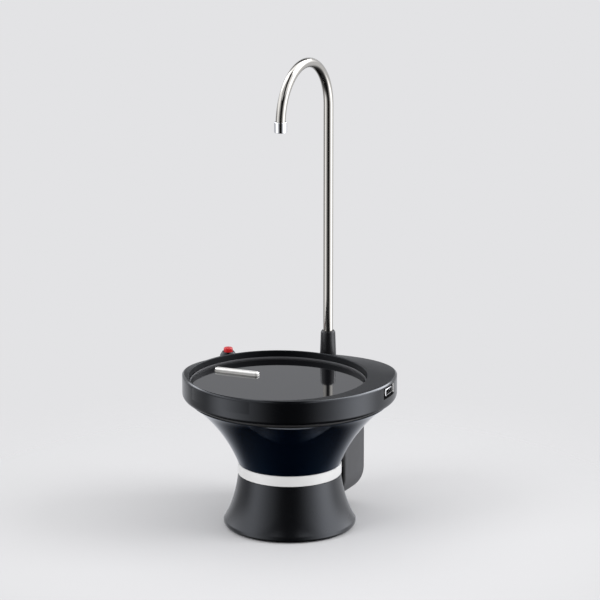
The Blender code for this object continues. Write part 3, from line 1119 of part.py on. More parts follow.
def spout(spout_frame):
    """Gooseneck tube and the ring on its end, in a frame that faces the tray."""
    aim = math.atan2(NOZZLE_Y - SPOUT_Y, NOZZLE_X - SPOUT_X) - SPOUT_ANGLE
    tube = pipe("spout_tube", spout_route(), TUBE_RADIUS, TUBE_BORE, ROUND_MIDDLE // 4, spout_frame,
                turn=aim)
    finish(tube, (0.78, 0.77, 0.75), 0.12, 1.0)
    reach = math.hypot(NOZZLE_X - SPOUT_X, NOZZLE_Y - SPOUT_Y)
    top = NOZZLE_FOOT_HEIGHT + NOZZLE_LENGTH
    inner = TUBE_RADIUS + SEAT_GAP
    ring = [(TUBE_BORE, NOZZLE_FOOT_HEIGHT), (NOZZLE_RADIUS - NOZZLE_LIP, NOZZLE_FOOT_HEIGHT),
            (NOZZLE_RADIUS, NOZZLE_FOOT_HEIGHT + NOZZLE_LIP), (NOZZLE_RADIUS, top - NOZZLE_LIP),
            (NOZZLE_RADIUS - NOZZLE_LIP, top), (inner, top), (inner, NOZZLE_FOOT_HEIGHT + NOZZLE_LIP - SEAT_GAP),
            (TUBE_BORE, NOZZLE_FOOT_HEIGHT + NOZZLE_LIP - SEAT_GAP)]
    nozzle = turned("spout_nozzle", ring, ROUND_SMALL, tube, (reach, 0, 0))
    finish(nozzle, (0.85, 0.85, 0.86), 0.08, 1.0)


def spout_collar(spout_frame):
    """Tapered collar that grips the tube, with the grooved plug below it, and its sealing ring."""
    bore = TUBE_RADIUS + SEAT_GAP
    tip = SPOUT_PLUG_TIP_RADIUS
    groove = tip - 2 * ORING_RADIUS - 2 * SEAT_GAP
    low, high = ORING_HEIGHT - ORING_GROOVE_WIDTH / 2, ORING_HEIGHT + ORING_GROOVE_WIDTH / 2
    outline = [(WATER_BORE, SPOUT_PLUG_FOOT_HEIGHT), (tip, SPOUT_PLUG_FOOT_HEIGHT), (tip, low), (groove, low),
               (groove, high), (tip, high)]
    outline += [(tip, SPOUT_PLUG_STEP_HEIGHT), (SPOUT_PLUG_RADIUS, SPOUT_PLUG_STEP_HEIGHT),
                (SPOUT_PLUG_RADIUS, COLLAR_SHOULDER_HEIGHT), (COLLAR_RADIUS, COLLAR_SHOULDER_HEIGHT),
                (COLLAR_TOP_RADIUS, COLLAR_HEIGHT - COLLAR_CHAMFER), (COLLAR_RING_RADIUS, COLLAR_HEIGHT),
                (bore, COLLAR_HEIGHT), (bore, TUBE_FOOT_HEIGHT - SEAT_GAP),
                (WATER_BORE, TUBE_FOOT_HEIGHT - SEAT_GAP)]
    finish(turned("spout_collar", outline, ROUND_SMALL, spout_frame), (0.02, 0.02, 0.022), 0.3)
    ring_radius = groove + SEAT_GAP + ORING_RADIUS
    section = arc((ring_radius, ORING_HEIGHT), ORING_RADIUS, 0, 300, 5)
    finish(turned("spout_oring", section, ROUND_POST, spout_frame), (0.02, 0.02, 0.02), 0.6)


def spout_socket(spout_frame):
    """Seat for the spout's plug, with two ears screwed up into the dish and a barb below."""
    bore = SPOUT_PLUG_RADIUS + SEAT_GAP
    outer = bore + SOCKET_WALL
    top = COLLAR_SHOULDER_HEIGHT - 2 * SEAT_GAP
    floor = SPOUT_PLUG_FOOT_HEIGHT - SEAT_GAP
    barb_foot = SOCKET_FOOT_HEIGHT - BARB_LENGTH
    outline = [(WATER_BORE / 2, barb_foot)]
    outline += [(radius, height) for radius, height in reversed(barb_outline(barb_foot, SOCKET_FOOT_HEIGHT, False))]
    tip = SPOUT_PLUG_TIP_RADIUS + SEAT_GAP
    step_height = SPOUT_PLUG_STEP_HEIGHT - SEAT_GAP
    outline += [(tip + SOCKET_WALL, SOCKET_FOOT_HEIGHT), (tip + SOCKET_WALL, step_height - SOCKET_WALL),
                (outer, step_height - SOCKET_WALL), (outer, top), (bore, top), (bore, step_height),
                (tip, step_height), (tip, floor), (WATER_BORE / 2, floor)]
    socket = turned("spout_socket", outline, ROUND_SMALL, spout_frame)
    ear_foot = top - SOCKET_EAR_THICKNESS
    for step, side in enumerate((-1, 1)):
        where = side * SOCKET_EAR_REACH
        low, high = sorted((side * bore + side * SEAT_GAP, where))
        arm = block(f"socket_arm_{step}", (-SOCKET_ARM_HALF_WIDTH, low, ear_foot),
                    (SOCKET_ARM_HALF_WIDTH, high, top - SEAT_GAP), socket)
        tip = drum(f"socket_ear_{step}", SOCKET_EAR_RADIUS, ear_foot - SEAT_GAP, top - 2 * SEAT_GAP,
                   ROUND_POST, socket, (0, where, 0))
        hole = drum(f"socket_ear_hole_{step}", SCREW_RADIUS + RUNNING_GAP, ear_foot - CUT_OVERRUN,
                    top + CUT_OVERRUN, ROUND_TINY, socket, (0, where, 0))
        join(socket, arm, tip)
        cut(socket, hole)
        screw(f"socket_screw_{step + 1}", SOCKET_EAR_THICKNESS + DISH_WALL / 2, spout_frame,
              (0, where, ear_foot - 2 * SEAT_GAP), (0, 0, 1))
    finish(socket, (0.75, 0.75, 0.74), 0.45)


def hoses(pump_frame):
    """The short outlet hose and the intake hose that rises over the pump's head."""
    lower = PUMP_HEAD_TOP + SEAT_GAP
    outlet = [Vector((PUMP_AXIS + PORT_OFFSET, 0, lower)),
              Vector(((PUMP_AXIS + PORT_OFFSET + SPOUT_REACH) / 2, 0, (lower + SOCKET_FOOT_HEIGHT) / 2)),
              Vector((SPOUT_REACH, 0, SOCKET_FOOT_HEIGHT - SEAT_GAP))]
    finish(pipe("outlet_hose", outlet, HOSE_RADIUS, HOSE_BORE, ROUND_TINY, pump_frame), (0.8, 0.8, 0.8), 0.5)
    start = intake_flange_top() + SEAT_GAP
    inlet = PUMP_AXIS - PORT_OFFSET
    port_end = PUMP_HEAD_TOP + BARB_LENGTH
    crown = PAN_UNDERSIDE - 2 * HOSE_RADIUS
    bow = crown - HOSE_RADIUS
    route = [(0, 0, start), (0, 0, start + INTAKE_RISE), (0, 0, (start + INTAKE_RISE + bow) / 2),
             (inlet * 0.16, 0, bow), (inlet * 0.5, 0, crown), (inlet * 0.86, 0, bow), (inlet, 0, port_end + BARB_LENGTH / 2),
             (inlet, 0, port_end), (inlet, 0, lower)]
    finish(pipe("intake_hose", smooth_route(route, 3), HOSE_RADIUS, HOSE_BORE, ROUND_TINY, pump_frame),
           (0.8, 0.8, 0.8), 0.5)


def intake_flange_top():
    return SKIRT_TOP_HEIGHT + SEAT_GAP + INTAKE_FLANGE_THICKNESS


def intake():
    """Fitting through the socket's web, with a barb at each end, and the nut that clamps it."""
    web_under = SKIRT_TOP_HEIGHT - NECK_WEB_THICKNESS
    nut_top = web_under - SEAT_GAP
    nut_foot = nut_top - INTAKE_NUT_HEIGHT
    tail = nut_foot - INTAKE_TAIL_LENGTH
    flange_foot, flange_top = SKIRT_TOP_HEIGHT + SEAT_GAP, intake_flange_top()
    bore = BARB_RADIUS / 2
    outline = [(bore, tail)]
    outline += [(radius, height) for radius, height in reversed(barb_outline(tail, nut_foot - SEAT_GAP, False))]
    outline += [(INTAKE_STEM_RADIUS, nut_foot - SEAT_GAP), (INTAKE_STEM_RADIUS, flange_foot),
                (INTAKE_FLANGE_RADIUS, flange_foot), (INTAKE_FLANGE_RADIUS, flange_top)]
    outline += barb_outline(flange_top, flange_top + BARB_LENGTH)
    outline += [(bore, flange_top + BARB_LENGTH)]
    finish(turned("intake_fitting", outline, ROUND_SMALL), (0.75, 0.75, 0.74), 0.45)
    nut_hole = INTAKE_STEM_RADIUS + SEAT_GAP
    hexagon = arc((0, 0), INTAKE_NUT_RADIUS, 0, 300, 5)
    nut = plate("intake_nut", hexagon, nut_foot, nut_top)
    cut(nut, drum("intake_nut_hole", nut_hole, nut_foot - CUT_OVERRUN, nut_top + CUT_OVERRUN))
    finish(nut, (0.05, 0.05, 0.05), 0.5)
    head_seat = web_under - SEAT_GAP
    for step, place in enumerate(neck_screw_places()):
        screw(f"neck_screw_{step + 1}", NECK_WEB_THICKNESS + NECK_BOSS_HEIGHT * 0.8, None,
              (place[0], place[1], head_seat), (0, 0, 1))


def battery(pump_frame):
    """Lithium cell lying across the funnel in a snap-in holder on two posts."""
    half = CELL_LENGTH / 2
    body = [(0, -half), (CELL_RADIUS, -half), (CELL_RADIUS, half), (CELL_CAP_RADIUS, half),
            (CELL_CAP_RADIUS, half + CELL_CAP_HEIGHT), (0, half + CELL_CAP_HEIGHT)]
    cell = turned("battery_cell", body, ROUND_SMALL, pump_frame, (CELL_AXIS, 0, CELL_HEIGHT))
    cell.rotation_euler = (math.radians(90), 0, 0)
    finish(cell, (0.05, 0.12, 0.30), 0.35)
    side = CELL_RADIUS + SEAT_GAP + HOLDER_WALL
    end = half + CELL_CAP_HEIGHT + SEAT_GAP
    foot = holder_foot()
    top = CELL_HEIGHT + CELL_RADIUS * HOLDER_RISE_SHARE
    holder = block("battery_holder", (CELL_AXIS - side, -end - HOLDER_WALL, foot),
                   (CELL_AXIS + side, end + HOLDER_WALL, top), pump_frame)
    bed = lying_drum("holder_bed", CELL_RADIUS + SEAT_GAP, (CELL_AXIS, -end, CELL_HEIGHT),
                     (CELL_AXIS, end, CELL_HEIGHT), pump_frame, ROUND_SMALL)
    cut(holder, bed)
    for step, place in enumerate(holder_post_places()):
        cut(holder, drum(f"holder_peg_hole_{step}", HOLDER_PEG_RADIUS + SEAT_GAP, foot - CUT_OVERRUN,
                         foot + HOLDER_WALL + CUT_OVERRUN, ROUND_TINY, pump_frame, place))
    finish(holder, (0.04, 0.04, 0.04), 0.5)


def board_top():
    return PORT_HEIGHT - RECEPTACLE_HEIGHT / 2 - SEAT_GAP


def charging_port(port_frame):
    """Receptacle in the wall and the control board under it, screwed to a post."""
    face = DISH_RADIUS - PORT_RECESS_DEPTH + RECEPTACLE_PROUD
    back = face - RECEPTACLE_DEPTH
    half = RECEPTACLE_WIDTH / 2
    low, high = PORT_HEIGHT - RECEPTACLE_HEIGHT / 2, PORT_HEIGHT + RECEPTACLE_HEIGHT / 2
    shell = block("usb_socket", (back, -half, low), (face, half, high), port_frame)
    mouth = block("receptacle_mouth", (face - RECEPTACLE_MOUTH_DEPTH, -half + RECEPTACLE_WALL, low + RECEPTACLE_WALL),
                  (face + CUT_OVERRUN, half - RECEPTACLE_WALL, high - RECEPTACLE_WALL), port_frame)
    tongue = block("receptacle_tongue", (face - RECEPTACLE_MOUTH_DEPTH - CUT_OVERRUN, -TONGUE_WIDTH / 2,
                                         PORT_HEIGHT - TONGUE_THICKNESS / 2),
                   (face - RECEPTACLE_MOUTH_DEPTH + TONGUE_LENGTH, TONGUE_WIDTH / 2,
                    PORT_HEIGHT + TONGUE_THICKNESS / 2), port_frame)
    cut(mouth, tongue)
    cut(shell, mouth)
    finish(shell, (0.75, 0.75, 0.76), 0.25, 1.0)
    top = board_top()
    board = block("circuit_board", (BOARD_INNER, -BOARD_LENGTH / 2, top - BOARD_THICKNESS),
                  (BOARD_INNER + BOARD_RADIAL, BOARD_LENGTH / 2, top), port_frame)
    middle = BOARD_INNER + BOARD_RADIAL / 2
    cut(board, drum("board_hole", SCREW_RADIUS + RUNNING_GAP, top - BOARD_THICKNESS - CUT_OVERRUN,
                    top + CUT_OVERRUN, ROUND_TINY, port_frame, (middle, BOARD_SCREW_REACH, 0)))
    screw("board_screw", BOARD_THICKNESS + 2 * SCREW_HEAD_HEIGHT, port_frame,
          (middle, BOARD_SCREW_REACH, top - BOARD_THICKNESS - SEAT_GAP), (0, 0, 1))
    finish(board, (0.02, 0.22, 0.08), 0.5)


def power_button():
    """Red cap, its bezel, return spring and the switch under the dish's skin."""
    place = (BUTTON_X, BUTTON_Y, 0)
    bore = BUTTON_RADIUS + RUNNING_GAP
    shoulder = flare((BEZEL_RADIUS, BEZEL_SHOULDER_HEIGHT), (BEZEL_RADIUS, BEZEL_HEIGHT),
                     (BEZEL_TOP_RADIUS, BEZEL_HEIGHT), FILLET_STEPS)
    outline = [(bore, BEZEL_FOOT_HEIGHT), (BEZEL_RADIUS, BEZEL_FOOT_HEIGHT)] + shoulder + [(bore, BEZEL_HEIGHT)]
    finish(turned("button_bezel", outline, ROUND_SMALL, None, place), (0.015, 0.015, 0.016), 0.25)
    stem_foot = BEZEL_FOOT_HEIGHT - BUTTON_FLOOR_THICKNESS - SWITCH_BORE_DEPTH + BUTTON_TRAVEL + RUNNING_GAP
    crown = arc((BUTTON_RADIUS - BUTTON_FILLET, BUTTON_HEIGHT - BUTTON_FILLET), BUTTON_FILLET, 0, 90)
    outline = [(0, stem_foot), (BUTTON_STEM_RADIUS, stem_foot), (BUTTON_STEM_RADIUS, BUTTON_SKIRT_HEIGHT),
               (BUTTON_RADIUS, BUTTON_SKIRT_HEIGHT)] + crown + [(0, BUTTON_HEIGHT)]
    finish(turned("power_button", outline, ROUND_SMALL, None, place), (0.62, 0.02, 0.03), 0.35)
    spring = coil("button_spring", BUTTON_SPRING_RADIUS, BEZEL_FOOT_HEIGHT, BUTTON_SKIRT_HEIGHT - SEAT_GAP,
                  None, place)
    finish(spring, (0.7, 0.7, 0.7), 0.3, 1.0)
    half = SWITCH_WIDTH / 2
    top = BEZEL_FOOT_HEIGHT - BUTTON_FLOOR_THICKNESS - SEAT_GAP
    body = block("power_switch", (-half, -half, top - SWITCH_HEIGHT), (half, half, top), None, place,
                 math.atan2(BUTTON_Y, BUTTON_X))
    cut(body, drum("switch_bore", BUTTON_STEM_RADIUS + RUNNING_GAP, top - SWITCH_BORE_DEPTH, top + CUT_OVERRUN,
                   ROUND_SMALL, body))
    finish(body, (0.03, 0.03, 0.03), 0.5)


def bracket_floor():
    return PAN_UNDERSIDE - SEAT_GAP - BRACKET_DEPTH + BRACKET_THICKNESS


def press_bar(bar_frame):
    """Metal bar, the yoke under it, two springs, the small switch and the bracket that holds them."""
    yoke_top = PAN_UNDERSIDE - SEAT_GAP
    yoke_foot = yoke_top - YOKE_THICKNESS
    foot = yoke_top - YOKE_SOCKET_DEPTH + SEAT_GAP
    bar = plate("press_bar", slot_outline(BAR_LENGTH, BAR_WIDTH), foot, TRAY_HEIGHT + BAR_PROUD, bar_frame)
    soften(bar, BAR_EDGE_FILLET, 3)
    finish(bar, (0.80, 0.79, 0.77), 0.22, 1.0)
    yoke = plate("bar_yoke", slot_outline(YOKE_LENGTH, YOKE_WIDTH), yoke_foot, yoke_top, bar_frame)
    socket = plate("yoke_socket", slot_outline(BAR_LENGTH + 2 * SEAT_GAP, BAR_WIDTH + 2 * SEAT_GAP),
                   yoke_top - YOKE_SOCKET_DEPTH, yoke_top + CUT_OVERRUN, bar_frame)
    cut(yoke, socket)
    finish(yoke, (0.05, 0.05, 0.05), 0.5)
    floor = bracket_floor()
    top = PAN_UNDERSIDE - SEAT_GAP
    half_length, half_width = BRACKET_LENGTH / 2, BRACKET_WIDTH / 2
    bracket = block("switch_bracket", (-half_length, -half_width, floor - BRACKET_THICKNESS),
                    (half_length, half_width, top), bar_frame)
    trough = block("bracket_trough", (-BRACKET_TROUGH_LENGTH / 2, -half_width - CUT_OVERRUN, floor),
                   (BRACKET_TROUGH_LENGTH / 2, half_width + CUT_OVERRUN, top + CUT_OVERRUN), bar_frame)
    cut(bracket, trough)
    flange = top - 3 * BRACKET_THICKNESS
    for step, side in enumerate((-1, 1)):
        low, high = sorted((side * (BRACKET_TROUGH_LENGTH / 2 + BRACKET_THICKNESS), side * (half_length + CUT_OVERRUN)))
        corner = block(f"bracket_corner_{step}", (low, -half_width - CUT_OVERRUN, floor - BRACKET_THICKNESS - CUT_OVERRUN),
                       (high, half_width + CUT_OVERRUN, flange), bar_frame)
        pilot = drum(f"bracket_pilot_{step}", SCREW_RADIUS + SEAT_GAP, flange - CUT_OVERRUN, top + CUT_OVERRUN,
                     ROUND_TINY, bar_frame, (side * BRACKET_SCREW_REACH, 0, 0))
        cut(bracket, corner, pilot)
        screw(f"bracket_screw_{step + 1}", PAN_THICKNESS + 2 * BRACKET_THICKNESS, bar_frame,
              (side * BRACKET_SCREW_REACH, 0, PAN_HEIGHT - SCREW_HEAD_HEIGHT - RUNNING_GAP + SEAT_GAP / 2))
        spring = coil(f"bar_spring_{step + 1}", BAR_SPRING_RADIUS, floor + SEAT_GAP, yoke_foot - SEAT_GAP,
                      bar_frame, (side * BAR_SPRING_REACH, 0, 0))
        finish(spring, (0.7, 0.7, 0.7), 0.3, 1.0)
    finish(bracket, (0.05, 0.05, 0.05), 0.5)
    half = CUP_SWITCH_WIDTH / 2
    knob_top = yoke_foot - BAR_TRAVEL - SEAT_GAP
    body_top = knob_top - CUP_SWITCH_KNOB_HEIGHT
    body = block("cup_switch", (-half, -half, floor + SEAT_GAP), (half, half, body_top), bar_frame)
    knob = drum("cup_switch_knob", CUP_SWITCH_KNOB_RADIUS, body_top - CUP_SWITCH_KNOB_HEIGHT, knob_top,
                ROUND_TINY, bar_frame)
    join(body, knob)
    finish(body, (0.03, 0.03, 0.03), 0.5)


def leads(pump_frame):
    """The cables from the motor, the cell and the two switches to the control board."""
    routes = (("motor_lead", MOTOR_LEAD_ROUTE, pump_frame, (0.30, 0.03, 0.03)),
              ("battery_lead", BATTERY_LEAD_ROUTE, pump_frame, (0.35, 0.02, 0.02)),
              ("cup_switch_lead", CUP_SWITCH_LEAD_ROUTE, None, (0.06, 0.06, 0.06)),
              ("button_lead", BUTTON_LEAD_ROUTE, None, (0.06, 0.06, 0.06)))
    for name, route, parent, colour in routes:
        cable = pipe(name, smooth_route(route, LEAD_STEPS), LEAD_RADIUS, 0, ROUND_POST // 2, parent)
        finish(cable, colour, 0.5)


def dish_screws():
    seat = PAN_HEIGHT - SCREW_HEAD_HEIGHT - RUNNING_GAP + SEAT_GAP / 2
    for step, place in enumerate(dish_screw_places()):
        screw(f"dish_screw_{step + 1}", DISH_SCREW_LENGTH - SCREW_HEAD_HEIGHT, None, (*place, seat))


def build():
    for item in list(bpy.data.objects):
        bpy.data.objects.remove(item)
    pump_frame = new_frame("pump_place", turn=SPOUT_ANGLE)
    spout_frame = new_frame("spout_place", place=(SPOUT_X, SPOUT_Y, 0), turn=SPOUT_ANGLE)
    port_frame = new_frame("port_place", turn=PORT_ANGLE)
    bar_frame = new_frame("bar_place", place=(BAR_X, BAR_Y, 0), turn=BAR_ANGLE)
    dish_housing(port_frame, bar_frame, spout_frame)
    tray(bar_frame)
    funnel_body(pump_frame)
    waist_band()
    neck_skirt(pump_frame)
    neck_seal()
    rear_housing(pump_frame)
    motor(pump_frame)
    pump_head_parts(pump_frame)
    motor_clamp(pump_frame)
    spout(spout_frame)
    spout_collar(spout_frame)
    spout_socket(spout_frame)
    hoses(pump_frame)
    intake()
    battery(pump_frame)
    charging_port(port_frame)
    power_button()
    press_bar(bar_frame)
    dish_screws()
    leads(pump_frame)


build()
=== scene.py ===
# %% [markdown]
# # A bottled water pump, dressed over its CAD frame
# The pump stands on the neck of a large water bottle. It has a round tray head, a waisted body, a pale band, a
# flared skirt and a tall gooseneck spout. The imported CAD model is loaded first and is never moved. Every dressed
# piece is then made in the same frame, so a piece goes where the CAD says. Blender works in metres. The sizes here
# are written in millimetres, as on a drawing, and the helpers that make a mesh turn them into metres.

# %% Load the frame
import math

import bmesh
import bpy
from mathutils import Matrix, Vector


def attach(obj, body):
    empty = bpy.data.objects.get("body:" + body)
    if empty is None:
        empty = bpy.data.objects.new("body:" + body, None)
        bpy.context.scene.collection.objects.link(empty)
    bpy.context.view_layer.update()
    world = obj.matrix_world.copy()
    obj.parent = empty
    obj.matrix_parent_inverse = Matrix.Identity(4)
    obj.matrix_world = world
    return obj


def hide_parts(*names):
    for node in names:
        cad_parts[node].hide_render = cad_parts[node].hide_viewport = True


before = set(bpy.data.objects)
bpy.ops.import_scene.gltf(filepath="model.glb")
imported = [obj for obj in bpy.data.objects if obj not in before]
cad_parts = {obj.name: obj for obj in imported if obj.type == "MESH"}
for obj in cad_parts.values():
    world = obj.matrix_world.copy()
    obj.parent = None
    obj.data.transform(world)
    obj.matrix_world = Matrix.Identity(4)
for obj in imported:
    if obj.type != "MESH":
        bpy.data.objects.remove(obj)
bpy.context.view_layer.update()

MM = 0.001


def placed(name, data):
    """A new object in the scene."""
    item = bpy.data.objects.new(name, data)
    bpy.context.collection.objects.link(item)
    return item


# %% [markdown]
# ## The camera
# A long lens from three metres away keeps the round head nearly parallel, as in a catalogue picture. It looks down
# by 15 degrees, which opens the tray's circle into a flat ellipse. A short lens close by would swell the near rim.

# %% Camera
CAMERA_TILT = 15.012
camera_data = bpy.data.cameras.new("catalogue_camera")
camera_data.sensor_width = 36
camera_data.lens = 225
camera = placed("catalogue_camera", camera_data)
camera.location = (8.32 * MM, -2882.86 * MM, 959.59 * MM)
camera.rotation_euler = (math.radians(90 - CAMERA_TILT), 0, 0)
bpy.context.scene.camera = camera
print("camera looks down by", CAMERA_TILT, "degrees through a lens of", camera_data.lens, "mm")

# %% [markdown]
# ## A small language for nodes
# Shader and geometry nodes share the same Math node. A tiny class wraps a socket and overloads the operators, so
# that `0.1 + 0.05 * noise` adds its own Math nodes. Everything else comes from one method, `add`, which takes the
# node's type, its settings and the values or links of its sockets.

# %% A number from a socket
class Signal:
    """A number that comes out of a socket."""

    def __init__(self, graph, socket):
        self.graph = graph
        self.socket = socket

    def run(self, operation, *others):
        made = self.graph.add("ShaderNodeMath", {"operation": operation}, dict(enumerate((self, *others))))
        return Signal(self.graph, made.outputs[0])

    def fade(self, low, high):
        """A smooth step from 0 at the low value to 1 at the high one."""
        return self.graph.signal("ShaderNodeMapRange", {"interpolation_type": "SMOOTHSTEP"},
                                 {"Value": self, "From Min": low, "From Max": high})

    def __add__(self, other):
        return self.run("ADD", other)

    def __sub__(self, other):
        return self.run("SUBTRACT", other)

    def __rsub__(self, other):
        return (self * -1) + other

    def __mul__(self, other):
        return self.run("MULTIPLY", other)

    def __truediv__(self, other):
        return self.run("DIVIDE", other)

    __radd__ = __add__
    __rmul__ = __mul__


# %% A tree written as expressions
class Graph:
    """A node tree that is written as expressions."""

    def __init__(self, tree):
        self.tree = tree

    def add(self, kind, settings=(), values=()):
        made = self.tree.nodes.new(kind)
        for name, value in dict(settings).items():
            setattr(made, name, value)
        for name, value in dict(values).items():
            self.feed(value, made.inputs[name])
        return made

    def signal(self, kind, settings=(), values=(), output=0):
        return Signal(self, self.add(kind, settings, values).outputs[output])

    def feed(self, value, socket):
        """Link a signal or a socket to a socket, or set it to a value."""
        value = value.socket if isinstance(value, Signal) else value
        if isinstance(value, bpy.types.NodeSocket):
            self.tree.links.new(value, socket)
        else:
            socket.default_value = value


# %% [markdown]
# ## Finishes
# A finish starts from the Principled shader. Its pattern is laid on Object coordinates, which are metres here, so a
# noise of scale 1000 has grains of about a millimetre. Only the sockets that the export can bake change over the
# surface: the base colour, the roughness and the bump.

# %% Parts of a finish
def start_finish(name, turn=(0, 0, 0), stretch=(1, 1, 1)):
    """A new material, its graph, its shader's sockets and its pattern coordinates."""
    material = bpy.data.materials.new(name)
    material.use_nodes = True
    graph = Graph(material.node_tree)
    sockets = material.node_tree.nodes["Principled BSDF"].inputs
    place = graph.add("ShaderNodeTexCoord").outputs["Object"]
    mapped = graph.add("ShaderNodeMapping", {}, {"Vector": place, "Rotation": turn, "Scale": stretch})
    return material, graph, sockets, mapped.outputs["Vector"]


def noise(graph, place, scale, detail=3.0, rough=0.5):
    """A noise from 0 to 1 whose grain is about one metre over its scale."""
    return graph.signal("ShaderNodeTexNoise", {}, {"Vector": place, "Scale": scale, "Detail": detail,
                                                   "Roughness": rough})


def tint(graph, sockets, mask, dark, light):
    """Blend two colours by a mask into the base colour."""
    mix = graph.add("ShaderNodeMix", {"data_type": "RGBA"}, {0: mask, 6: (*dark, 1), 7: (*light, 1)})
    graph.feed(mix.outputs[2], sockets["Base Color"])


def relief(graph, sockets, height, strength, depth):
    """Press a height pattern, whose depth is in millimetres, into the surface's normal."""
    bump = graph.add("ShaderNodeBump", {}, {"Strength": strength, "Distance": depth * MM, "Height": height})
    graph.feed(bump.outputs["Normal"], sockets["Normal"])


# %% [markdown]
# Two recipes dress almost everything. Moulded plastic has faint clouds in its colour, smudges in its gloss and a fine
# skin. Metal has fine lines, which lie along one direction because the pattern is stretched the other way. Their
# numbers are the gloss as a roughness, how far it spreads, the grain or the stretch, and the depth in millimetres.

# %% Recipes for plastic and metal
def moulded(name, dark, light, gloss, spread, grain_scale, grain_depth, ior=1.5, cast=(1, 1, 1)):
    """Moulded plastic: faint clouds in its colour and gloss over a fine skin. Cast tints the mirror image."""
    material, graph, sockets, place = start_finish(name)
    cloud = noise(graph, place, 45, 4)
    smudge = noise(graph, place, 160, 5, 0.6)
    grain = noise(graph, place, grain_scale, 2)
    tint(graph, sockets, cloud, dark, light)
    graph.feed(smudge * spread + gloss, sockets["Roughness"])
    relief(graph, sockets, grain + 0.3 * smudge, 0.25, grain_depth)
    sockets["IOR"].default_value = ior
    sockets["Specular Tint"].default_value = (*cast, 1)
    return material


def metal(name, dark, light, gloss, spread, stretch, depth, turn=0.0, share=1.0):
    """Metal with fine lines along one direction. Its share of mirror image is 1, or less where it scatters light."""
    material, graph, sockets, place = start_finish(name, (0, 0, turn), stretch)
    lines = noise(graph, place, 1.0, 3, 0.6)
    wide = noise(graph, graph.add("ShaderNodeTexCoord").outputs["Object"], 70, 3)
    tint(graph, sockets, lines * 0.6 + wide * 0.4, dark, light)
    graph.feed(lines * spread + wide * (spread * 0.5) + gloss, sockets["Roughness"])
    relief(graph, sockets, lines, 0.2, depth)
    sockets["Metallic"].default_value = share
    return material


# %% [markdown]
# ### Black plastics
# The head is one moulding with two skins: its wall is polished and its top is satin, so the crescent stays dark
# under a bright ceiling. The tray is a polished plate, so it mirrors the tube and the collar. The funnel has the
# deepest gloss. Its colour and its mirror image are tinted navy, a painted reflection of the blue bottle below it.
# The skirt and the collar are satin. The shell behind the waist has a fine spark-eroded texture, which is dull grey
# where light falls along it. One recipe makes them all, because only colour, gloss and grain tell them apart.

# %% Black plastics
HEAD_DARK, HEAD_LIGHT = (0.0014, 0.0016, 0.0022), (0.0022, 0.0025, 0.0032)
# The navy mirror tint is a painted reflection of the blue bottle that the funnel mirrors.
COOL_CAST, NAVY_PAINTED_REFLECTION = (0.92, 0.95, 1), (0.12, 0.45, 1)
HEAD_GLOSS = moulded("head_gloss", HEAD_DARK, HEAD_LIGHT, 0.16, 0.06, 2400, 0.003, 1.5, COOL_CAST)
HEAD_SATIN = moulded("head_satin", HEAD_DARK, HEAD_LIGHT, 0.42, 0.06, 2400, 0.003, 1.34, COOL_CAST)
TRAY_GLOSS = moulded("tray_gloss", (0.004, 0.004, 0.005), (0.006, 0.006, 0.007), 0.03, 0.02, 700, 0.0005, 1.36)
# The funnel's navy colours are a painted reflection of that blue bottle too.
FUNNEL_GLOSS = moulded("funnel_gloss", (0.0004, 0.0016, 0.0045), (0.0008, 0.0024, 0.0065), 0.04, 0.03, 900, 0.0006,
                       1.5, NAVY_PAINTED_REFLECTION)
SKIRT_SATIN = moulded("skirt_satin", (0.0022, 0.0024, 0.0030), (0.0034, 0.0037, 0.0045), 0.22, 0.08, 2600, 0.006,
                      1.5, COOL_CAST)
HOUSING_MATTE = moulded("housing_matte", (0.040, 0.040, 0.042), (0.052, 0.052, 0.055), 0.48, 0.10, 2200, 0.05)
COLLAR_SATIN = moulded("collar_satin", (0.005, 0.005, 0.006), (0.008, 0.008, 0.009), 0.22, 0.08, 1800, 0.012)
# Painted shade: a flat, nearly unreflecting black for the port's recess and its frame, for the shadow inside it.
PORT_PAINTED_SHADE = moulded("port_painted_shade", (0.002, 0.002, 0.002), (0.004, 0.004, 0.004), 0.65, 0.1, 1500, 0.02, 1.15)
# This black is the real colour of the inner parts, and painted shade in the groove at the funnel's rim.
INNER_BLACK_AND_GROOVE_SHADE = moulded("inner_black", (0.020, 0.020, 0.020), (0.032, 0.032, 0.032), 0.45, 0.12, 1500, 0.03)
print("black plastics:", 9)

# %% [markdown]
# ### Pale and coloured plastics, rubber and silicone
# The waist band is satin off-white. The button is a satin red cap. The hoses and the neck seal are milky silicone,
# which lets a little light soak in, so they get some subsurface scatter. The pump's inner frame is plain natural
# plastic, and the cables have soft coloured sleeves.

# %% Other plastics
BAND_WHITE = moulded("band_white", (0.72, 0.72, 0.715), (0.78, 0.78, 0.775), 0.32, 0.08, 1400, 0.01)
BUTTON_RED = moulded("button_red", (0.52, 0.008, 0.012), (0.60, 0.014, 0.018), 0.30, 0.08, 2000, 0.02)
PUMP_NATURAL = moulded("pump_natural", (0.58, 0.58, 0.55), (0.68, 0.68, 0.65), 0.42, 0.1, 1200, 0.02)
GASKET_SOFT = moulded("gasket_soft", (0.055, 0.055, 0.06), (0.08, 0.08, 0.085), 0.45, 0.12, 2500, 0.02)
RUBBER_BLACK = moulded("rubber_black", (0.012, 0.012, 0.012), (0.022, 0.022, 0.022), 0.6, 0.15, 2500, 0.03)
LEAD_RED = moulded("lead_red", (0.28, 0.010, 0.010), (0.36, 0.016, 0.016), 0.42, 0.1, 2500, 0.02)
LEAD_BLACK = moulded("lead_black", (0.012, 0.012, 0.012), (0.020, 0.020, 0.020), 0.42, 0.1, 2500, 0.02)
HOSE_MILKY = moulded("hose_milky", (0.62, 0.64, 0.65), (0.74, 0.76, 0.76), 0.36, 0.1, 900, 0.02)
